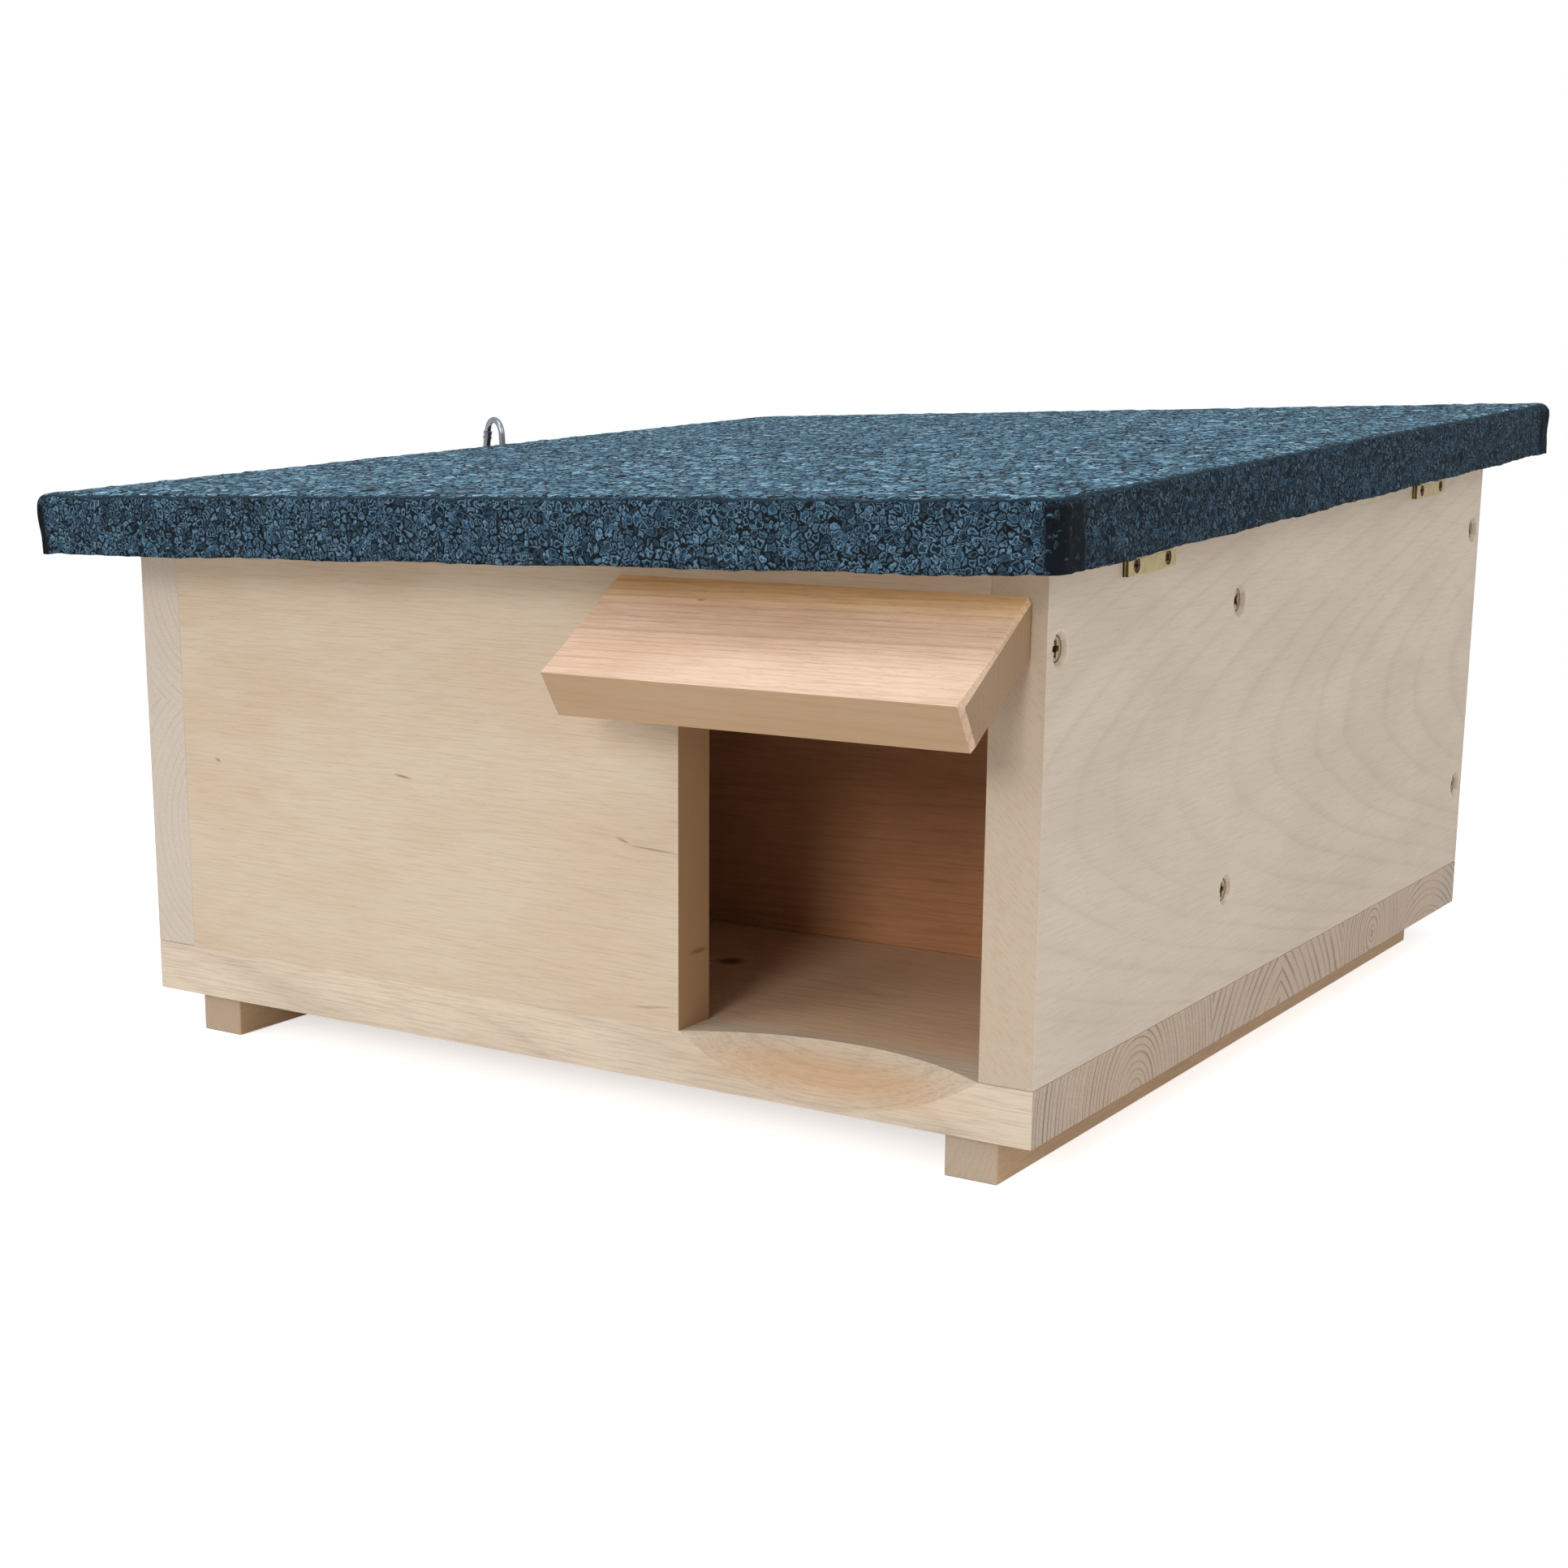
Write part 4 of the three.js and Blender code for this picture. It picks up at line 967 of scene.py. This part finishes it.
def assign_boards(wood):
    """Every board's own cut of wood: staves, hearts and marks where the photograph shows them."""
    x_way, y_way, z_way = (1, 0, 0), (0, 1, 0), (0, 0, 1)
    far = LAST_EDGE
    floor = Board(
        "floor_board",
        x_way,
        y_way,
        [
            (-78, -150, -12, 3.0),
            (-3, 40, -70, 5.4),
            (71, -60, -75, 5.4),
            (160, 112, -3, 3.2),
            (far, 190, -60, 3.6),
        ],
        taper=0.03,
        marks=[
            ((218, 100, 20), (8, 8.0, 6), 0.2, 0.85),
            ((206, 96, 20), (11, 1.6, 6), 0.1, 0.6),
            ((320, 4, 12), (70, 20, 12), 0.0, 0.5, "#bd8c58"),
        ],
        late="#6f5640",
        end="#b8a898",
        face_lines=0.18,
        end_lines=0.85,
        wander=3.0,
        # Painted light: the floor's inside, lit through the entrance, is painted lighter and warmer than
        # its front and back edges
        browned=(0, 222, 200, "#dcb693", 0.9),
    )
    front = Board(
        "front_panel",
        x_way,
        z_way,
        [(far, 0, 30, 5.0)],
        taper=-0.24,
        lean=0.1,
        marks=[
            ((134, 0, 101), (5.5, 0.7, 5), -0.12, 0.6),
            ((249, 0, 85), (15, 0.5, 5), -0.05, 0.5),
            ((236, 0, 87), (4, 0.7, 5), -0.3, 0.45),
            ((248, 0, 27), (13, 0.7, 5), 0.12, 0.3),
            ((38, 0, 99), (2.2, 0.8, 5), -0.4, 0.5),
            ((260, 13, 47), (5, 1.4, 8), 0.0, 0.5),
        ],
        late="#a98a66",
        end="#a8835f",
        end_tint=1.0,
        face_lines=0.09,
        clouds=0.22,
        fibres=0.3,
    )
    left_wall = Board(
        "left_wall", y_way, z_way, [(10, -40, 46, 3.4), (far, 60, 40, 3.6)], taper=-0.1, end="#b6ada2"
    )
    right_wall = Board(
        "right_wall",
        y_way,
        z_way,
        [(far, -5, -60, 8.0)],
        taper=-0.175,
        lean=0.015,
        late="#a48b70",
        end="#ad9b86",
        face_lines=0.18,
        end_lines=0.06,
        flecks=0.3,
        fibres=0.14,
        wander=9.0,
    )
    partition = Board(
        "partition", x_way, z_way, [(far, -10, 60, 3.2)], 0.03, late="#7d5230", face_lines=0.22, clouds=0.25
    )
    back = Board("back_panel", x_way, z_way, [(0, -50, 40, 4.0), (far, 60, 36, 3.6)], taper=0.08)
    left_runner = Board("left_runner", y_way, x_way, [(far, 26, -20, 2.2)], end="#9f9080")
    right_runner = Board("right_runner", y_way, x_way, [(far, -30, -12, 2.2)], end="#a3988a")
    roof = Board("roof_board", x_way, y_way, [(0, -90, 60, 4.0), (far, 110, 70, 4.0)], face_lines=0.3)
    finishes = [
        (floor, wood.floor),
        (front, wood.front),
        (left_wall, wood.side),
        (right_wall, wood.side),
        (partition, wood.inner),
        (back, wood.side),
        (left_runner, wood.runner),
        (right_runner, wood.runner),
        (roof, wood.front),
    ]
    for board, colour in finishes:
        wear(board.node, planed_wood(f"planed_wood_{board.node}", board, colour, wood))
        ease_edges(board.node, wood.edge * (2 if board.node.endswith("runner") else 1))


CANOPY_RUN = 47.2
CANOPY_DROP = 29.6
CANOPY_EDGE_RUN = 9.8
CANOPY_EDGE_FALL = 15.5


def assign_canopy(wood):
    """The canopy's own plank: straight pinkish grain with browner streaks, a warmer colour towards its
    upper edge painted lighter against the roof's shade, and painted shade on its down-facing front face.
    """
    down_slope = (0, -CANOPY_RUN, -CANOPY_DROP)
    canopy = Board(
        "entrance_canopy",
        (1, 0, 0),
        down_slope,
        [(LAST_EDGE, -70, 46, 2.7)],
        taper=0.02,
        marks=[((276, -10, 176), (2.5, 0.8, 5), 0.0, 0.5), ((393.5, -30, 137), (3, 0.7, 3), 0.0, 0.8)],
        late="#9c6c48",
        end="#806748",
        face_lines=0.38,
        end_lines=0.4,
        pores=0.22,
        clouds=0.25,
        wander=3.0,
        # Painted light over its own warmer wood: the upper edge, in the roof's shade, passes to a pale warm
        # colour
        browned=(-60, 46, 30, "#ffd893", 0.6),
        # Painted shade on the front face, which looks down and forward
        sawn=((0, -CANOPY_EDGE_FALL, -CANOPY_EDGE_RUN), "#9b7e5d", 0.85),
    )
    wear(canopy.node, planed_wood("planed_wood_canopy", canopy, wood.canopy, wood))


# Spring hook: its bend, and the smooth wire that stands for the CAD's faceted one
HOOK_TURN = 22.0
HOOK_WIRE = 1.5
HOOK_RISE = 13.3
HOOK_LENGTH = 50.0
HOOK_TOP_RADIUS = 6.7
HOOK_BOTTOM_RADIUS = 10.75
HOOK_NOSE_ANGLE = 14.0
HOOK_FOOT_ANGLE = -12.0
HOOK_ARC_STEPS = 28
WIRE_SIDES = 24
TONGUE_THICKNESS = 1.3
TONGUE_STEPS = 13
BACK_STEPS = 12
CRISP_EDGE = 50


def from_hook(points):
    """Rows of hook-frame millimetres (out to the gate, up, across) as metres in the part's frame."""
    turn = math.radians(HOOK_TURN)
    out = np.array([-math.cos(turn), math.sin(turn), 0.0])
    up = np.array([0.0, 0.0, 1.0])
    axes = np.array([out, up, np.cross(out, up)])
    return from_roof(np.asarray(points) @ axes + [ROOF_LEFT + HOOK_SEAT, HOOK_ALONG, 0.0])


def arc(centre, radius, start, end):
    """Points on an arc in the hook's plane, from one angle to another, in degrees."""
    angles = np.radians(np.linspace(start, end, HOOK_ARC_STEPS))
    flat = [centre[0] + radius * np.cos(angles), centre[1] + radius * np.sin(angles)]
    return np.stack([*flat, np.zeros(len(angles))], axis=-1)


def wire(route, radius):
    """A round wire with square ends along a route in the hook's plane.

    Each ring is the route's point plus the radius times (cosine of the side's normal in the plane,
    sine across it).
    """
    way = np.gradient(route, axis=0)
    way /= np.linalg.norm(way, axis=-1, keepdims=True)
    side = np.stack([way[:, 1], -way[:, 0], np.zeros(len(way))], axis=-1)
    angles = np.arange(WIRE_SIDES) / WIRE_SIDES * 2 * np.pi
    round_side = side[:, None, :] * np.cos(angles)[None, :, None]
    round_side = round_side + np.array([0, 0, 1.0]) * np.sin(angles)[None, :, None]
    points = (route[:, None, :] + round_side * radius).reshape(-1, 3)
    faces = quads(len(route), WIRE_SIDES, True)[:, ::-1].tolist()
    last = len(points) - WIRE_SIDES
    return points, faces + [list(range(WIRE_SIDES)), list(range(last, len(points)))[::-1]]


def tongue(pivot, low):
    """The flat tongue in the gate's fork: straight sides, rounded over the pivot."""
    angles = np.linspace(0, math.pi, TONGUE_STEPS)
    top = np.stack([pivot[0] + HOOK_WIRE * np.cos(angles), pivot[1] + HOOK_WIRE * np.sin(angles)], axis=-1)
    outline = np.concatenate([[(pivot[0] - HOOK_WIRE, low), (pivot[0] + HOOK_WIRE, low)], top])
    count = len(outline)
    half = TONGUE_THICKNESS / 2
    points = np.concatenate([np.insert(outline, 2, side, axis=1) for side in (-half, half)])
    sides = quads(2, count, True).tolist()
    return points, sides + [list(range(count))[::-1], list(range(count, 2 * count))]


HOOK_HIGH = ROOF_THICKNESS + HOOK_RISE
HOOK_BOTTOM = HOOK_HIGH - HOOK_LENGTH + HOOK_WIRE + HOOK_BOTTOM_RADIUS


def hook_route():
    """The bent wire's middle line: round the bottom, up the straight back and over to the nose."""
    top = (HOOK_TOP_RADIUS, HOOK_HIGH - HOOK_WIRE - HOOK_TOP_RADIUS)
    bottom = (HOOK_BOTTOM_RADIUS, HOOK_BOTTOM)
    foot = arc(bottom, HOOK_BOTTOM_RADIUS, HOOK_FOOT_ANGLE, -180)
    over = arc(top, HOOK_TOP_RADIUS, 180, HOOK_NOSE_ANGLE)
    heights = np.linspace(bottom[1], top[1], BACK_STEPS)[1:-1]
    straight = np.stack([np.zeros(len(heights)), heights, np.zeros(len(heights))], axis=-1)
    return np.concatenate([foot, straight, over])


def hook_body(material):
    """The bent wire and its tongue as one piece."""
    pivot = (2 * HOOK_BOTTOM_RADIUS, HOOK_BOTTOM + HOOK_WIRE)
    bent, faces = wire(hook_route(), HOOK_WIRE)
    plate, corners = tongue(pivot, HOOK_BOTTOM - 2 * HOOK_WIRE)
    faces += [[corner + len(bent) for corner in face] for face in corners]
    points = from_hook(np.concatenate([bent, plate]))
    piece = new_piece("hook_wire", points, faces, material, "hook")
    piece.modifiers.new("crisp ends", "EDGE_SPLIT").split_angle = math.radians(CRISP_EDGE)
    return piece


class HOUSE_OT_boards(bpy.types.Operator):
    """Gives every board its planed wood and eased edges"""

    bl_idname = "hedgehog_house.boards"
    bl_label = "Boards"

    def execute(self, context):
        assign_boards(context.scene.house_wood)
        return {"FINISHED"}


class HOUSE_OT_canopy(bpy.types.Operator):
    """Gives the canopy its pinkish plank"""

    bl_idname = "hedgehog_house.canopy"
    bl_label = "Canopy"

    def execute(self, context):
        assign_canopy(context.scene.house_wood)
        return {"FINISHED"}


class HOUSE_OT_felt(bpy.types.Operator):
    """Lays the flaked felt over the roof board"""

    bl_idname = "hedgehog_house.felt"
    bl_label = "Roof felt"

    def execute(self, context):
        felt = context.scene.house_felt
        cover = felt_tray("felt_cover", felt, slate_felt("slate_felt", felt))
        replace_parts(cover, "roof_felt")
        return {"FINISHED"}


class HOUSE_OT_screws(bpy.types.Operator):
    """Puts a turned screw with a cross recess in the place of each CAD screw"""

    bl_idname = "hedgehog_house.screws"
    bl_label = "Screws"

    def execute(self, context):
        metal = context.scene.house_metal
        zinc = plated_metal("yellow_zinc_screws", metal.zinc, 0.38)
        bronze = plated_metal("bronzed_hinge_screws", metal.bronze, 0.45, tarnish="#2a1c10")
        for name, prefix, out, spec, body in SCREW_GROUPS:
            small = spec is HINGE_SCREW
            finish, slot = (bronze, "bronze") if small else (zinc, "zinc")
            screw_group(name, prefix, out, spec, body, finish)
        return {"FINISHED"}


class HOUSE_OT_hinges(bpy.types.Operator):
    """Gives the hinges their satin brass"""

    bl_idname = "hedgehog_house.hinges"
    bl_label = "Hinges"

    def execute(self, context):
        colour = context.scene.house_metal.brass
        brass = plated_metal("satin_brass", colour, 0.5, grain=3.0)
        # The wall leaves' brass has painted shade lines on its front ends: a shadow line along the wall and
        # a shaded edge
        folded = plated_metal("shade_lined_satin_brass", colour, 0.5, grain=3.0, shade_lines=LEAF_SHADE_LINES)
        for node in sorted(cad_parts):
            if node.startswith(("front_hinge", "rear_hinge")):
                wear(node, folded if node.endswith("wall_leaf") else brass)
        return {"FINISHED"}


class HOUSE_OT_spring_hook(bpy.types.Operator):
    """Bends the spring hook's smooth wire and finishes its gate and the wall eye"""

    bl_idname = "hedgehog_house.spring_hook"
    bl_label = "Spring hook"

    def execute(self, context):
        steel = context.scene.house_metal.steel
        bright = plated_metal("bright_zinc_wire", steel, 0.28, tarnish="#6a6c70", tarnish_share=0.35)
        for node in ("gate_rivet", "hook_gate", "gate_spring", "wall_eye"):
            wear(node, bright)
        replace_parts(hook_body(bright), "hook_body")
        return {"FINISHED"}


# Studio: lamps as (name, place, size, power), in metres from the part's middle, aimed at it
FLOOR_SIZE = 14.0
FLOOR_GLOW = 0.6
FLOOR_WHITE_FROM = 0.5
FLOOR_WHITE_TO = 1.3
LAMPS = [
    ("overhead", (-0.1, -1.0, 2.5), 2.2, 29.0),
    ("front", (-1.0, -2.6, 1.5), 1.5, 19.0),
    ("low front", (0.8, -4.6, 1.8), 1.5, 80.0),
    ("right", (2.7, 0.2, 1.7), 1.8, 20.0),
]
WORLD_STRENGTH = 0.42
AIM_HEIGHT = 110.0


class HOUSE_OT_stage(bpy.types.Operator):
    """Builds the pale floor, the soft lamps and the camera at the photograph's angle"""

    bl_idname = "hedgehog_house.stage"
    bl_label = "Stage"

    def execute(self, context):
        stage_floor()
        stage_world(context.scene)
        stage_lamps()
        stage_camera(context.scene)
        context.scene.view_settings.view_transform = "Standard"
        return {"FINISHED"}


def seen(tree):
    """A socket that is 1 for rays that show the background: camera, mirror and glass rays."""
    path = add(tree, "ShaderNodeLightPath").outputs
    either = [path["Is Camera Ray"], path["Is Glossy Ray"]]
    either = add(tree, "ShaderNodeMath", either, operation="MAXIMUM").outputs[0]
    either = [either, path["Is Transmission Ray"]]
    return add(tree, "ShaderNodeMath", either, operation="MAXIMUM").outputs[0]


def stage_floor():
    """A wide pale floor that keeps the house's soft shadow."""
    half = FLOOR_SIZE / 2
    corners = [(-half, -half, 0), (half, -half, 0), (half, half, 0), (-half, half, 0)]
    mesh = bpy.data.meshes.new("studio_floor")
    mesh.from_pydata(corners, [], [(0, 1, 2, 3)])
    floor = bpy.data.objects.new("studio_floor", mesh)
    bpy.context.scene.collection.objects.link(floor)
    material, tree = blank("white_paper")
    paper = {"Base Color": linear("#f4f4f3"), "Roughness": 0.9, "Specular IOR Level": 0.1}
    diffuse = add(tree, "ShaderNodeBsdfPrincipled", paper).outputs[0]
    glow = {"Color": linear("#ffffff"), "Strength": FLOOR_GLOW}
    glow = add(tree, "ShaderNodeEmission", glow).outputs[0]
    near = add(tree, "ShaderNodeAddShader", [diffuse, glow]).outputs[0]
    white = add(tree, "ShaderNodeEmission", {"Color": linear("#ffffff"), "Strength": 1.0}).outputs[0]
    coords = add(tree, "ShaderNodeTexCoord").outputs["Object"]
    away = add(tree, "ShaderNodeVectorMath", [coords], operation="LENGTH").outputs["Value"]
    away = [away, FLOOR_WHITE_FROM, FLOOR_WHITE_TO]
    away = add(tree, "ShaderNodeMapRange", away, **SMOOTH).outputs[0]
    shown = add(tree, "ShaderNodeMixShader", [away, near, white]).outputs[0]
    mixed = add(tree, "ShaderNodeMixShader", [seen(tree), diffuse, shown]).outputs[0]
    add(tree, "ShaderNodeOutputMaterial", [mixed])
    mesh.materials.append(material)


def stage_world(scene):
    """Even pale light from all round, with a white backdrop."""
    world = bpy.data.worlds.new("pale_studio")
    world.use_nodes = True
    tree = world.node_tree
    tree.nodes.clear()
    soft = add(tree, "ShaderNodeBackground", [linear("#f7f9ff"), WORLD_STRENGTH]).outputs[0]
    white = add(tree, "ShaderNodeBackground", [linear("#ffffff"), 1.0]).outputs[0]
    mixed = add(tree, "ShaderNodeMixShader", [seen(tree), soft, white]).outputs[0]
    add(tree, "ShaderNodeOutputWorld", [mixed])
    scene.world = world


def stage_lamps():
    """Large soft lamps aimed at the house."""
    aim = Vector((0, 0, AIM_HEIGHT * MM))
    for name, where, size, power in LAMPS:
        data = bpy.data.lights.new(name, "AREA")
        data.shape = "DISK"
        data.size = size
        data.energy = power
        lamp = bpy.data.objects.new(name, data)
        lamp.location = where
        lamp.rotation_euler = (aim - Vector(where)).to_track_quat("-Z", "Y").to_euler()
        bpy.context.scene.collection.objects.link(lamp)


def stage_camera(scene):
    """The camera fitted to the photograph: its lens, shift, place and turn."""
    data = bpy.data.cameras.new("photo_camera")
    data.sensor_width = SENSOR
    data.lens = CAMERA_FOCAL_PIXELS / PHOTO_PIXELS * SENSOR
    data.shift_x = (PHOTO_PIXELS / 2 - CAMERA_CENTRE_PIXELS[0]) / PHOTO_PIXELS
    data.shift_y = (CAMERA_CENTRE_PIXELS[1] - PHOTO_PIXELS / 2) / PHOTO_PIXELS
    camera = bpy.data.objects.new("photo_camera", data)
    yaw, pitch = CAMERA_YAW, CAMERA_PITCH
    ahead = Vector((-math.sin(yaw) * math.cos(pitch), math.cos(yaw) * math.cos(pitch), math.sin(pitch)))
    level = Vector((math.cos(yaw), math.sin(yaw), 0))
    above = level.cross(ahead)
    right = math.cos(CAMERA_ROLL) * level + math.sin(CAMERA_ROLL) * above
    above = right.cross(ahead)
    turn = Matrix((right, above, -ahead)).transposed().to_4x4()
    camera.matrix_world = Matrix.Translation(place(*CAMERA_PLACE)) @ turn
    scene.collection.objects.link(camera)
    scene.camera = camera


class HOUSE_PT_panel(bpy.types.Panel):
    """Lists the house's pieces"""

    bl_idname = "HOUSE_PT_panel"
    bl_label = "Hedgehog House"
    bl_space_type = "VIEW_3D"
    bl_region_type = "UI"
    bl_category = "House"

    def draw(self, context):
        for operator in OPERATORS:
            self.layout.operator(operator.bl_idname)
        for group in (context.scene.house_wood, context.scene.house_felt, context.scene.house_metal):
            box = self.layout.box()
            for name in type(group).__annotations__:
                box.prop(group, name)


OPERATORS = (
    HOUSE_OT_stage,
    HOUSE_OT_boards,
    HOUSE_OT_canopy,
    HOUSE_OT_felt,
    HOUSE_OT_screws,
    HOUSE_OT_hinges,
    HOUSE_OT_spring_hook,
)
GROUPS = {"house_wood": WoodSettings, "house_felt": FeltSettings, "house_metal": MetalSettings}


def register():
    for name, group in GROUPS.items():
        bpy.utils.register_class(group)
        setattr(bpy.types.Scene, name, bpy.props.PointerProperty(type=group))
    for operator in OPERATORS:
        bpy.utils.register_class(operator)
    bpy.utils.register_class(HOUSE_PT_panel)


def unregister():
    bpy.utils.unregister_class(HOUSE_PT_panel)
    for operator in reversed(OPERATORS):
        bpy.utils.unregister_class(operator)
    for name, group in GROUPS.items():
        delattr(bpy.types.Scene, name)
        bpy.utils.unregister_class(group)


def main():
    register()
    for operator in OPERATORS:
        group, name = operator.bl_idname.split(".")
        getattr(getattr(bpy.ops, group), name)()


if __name__ == "__main__":
    main()
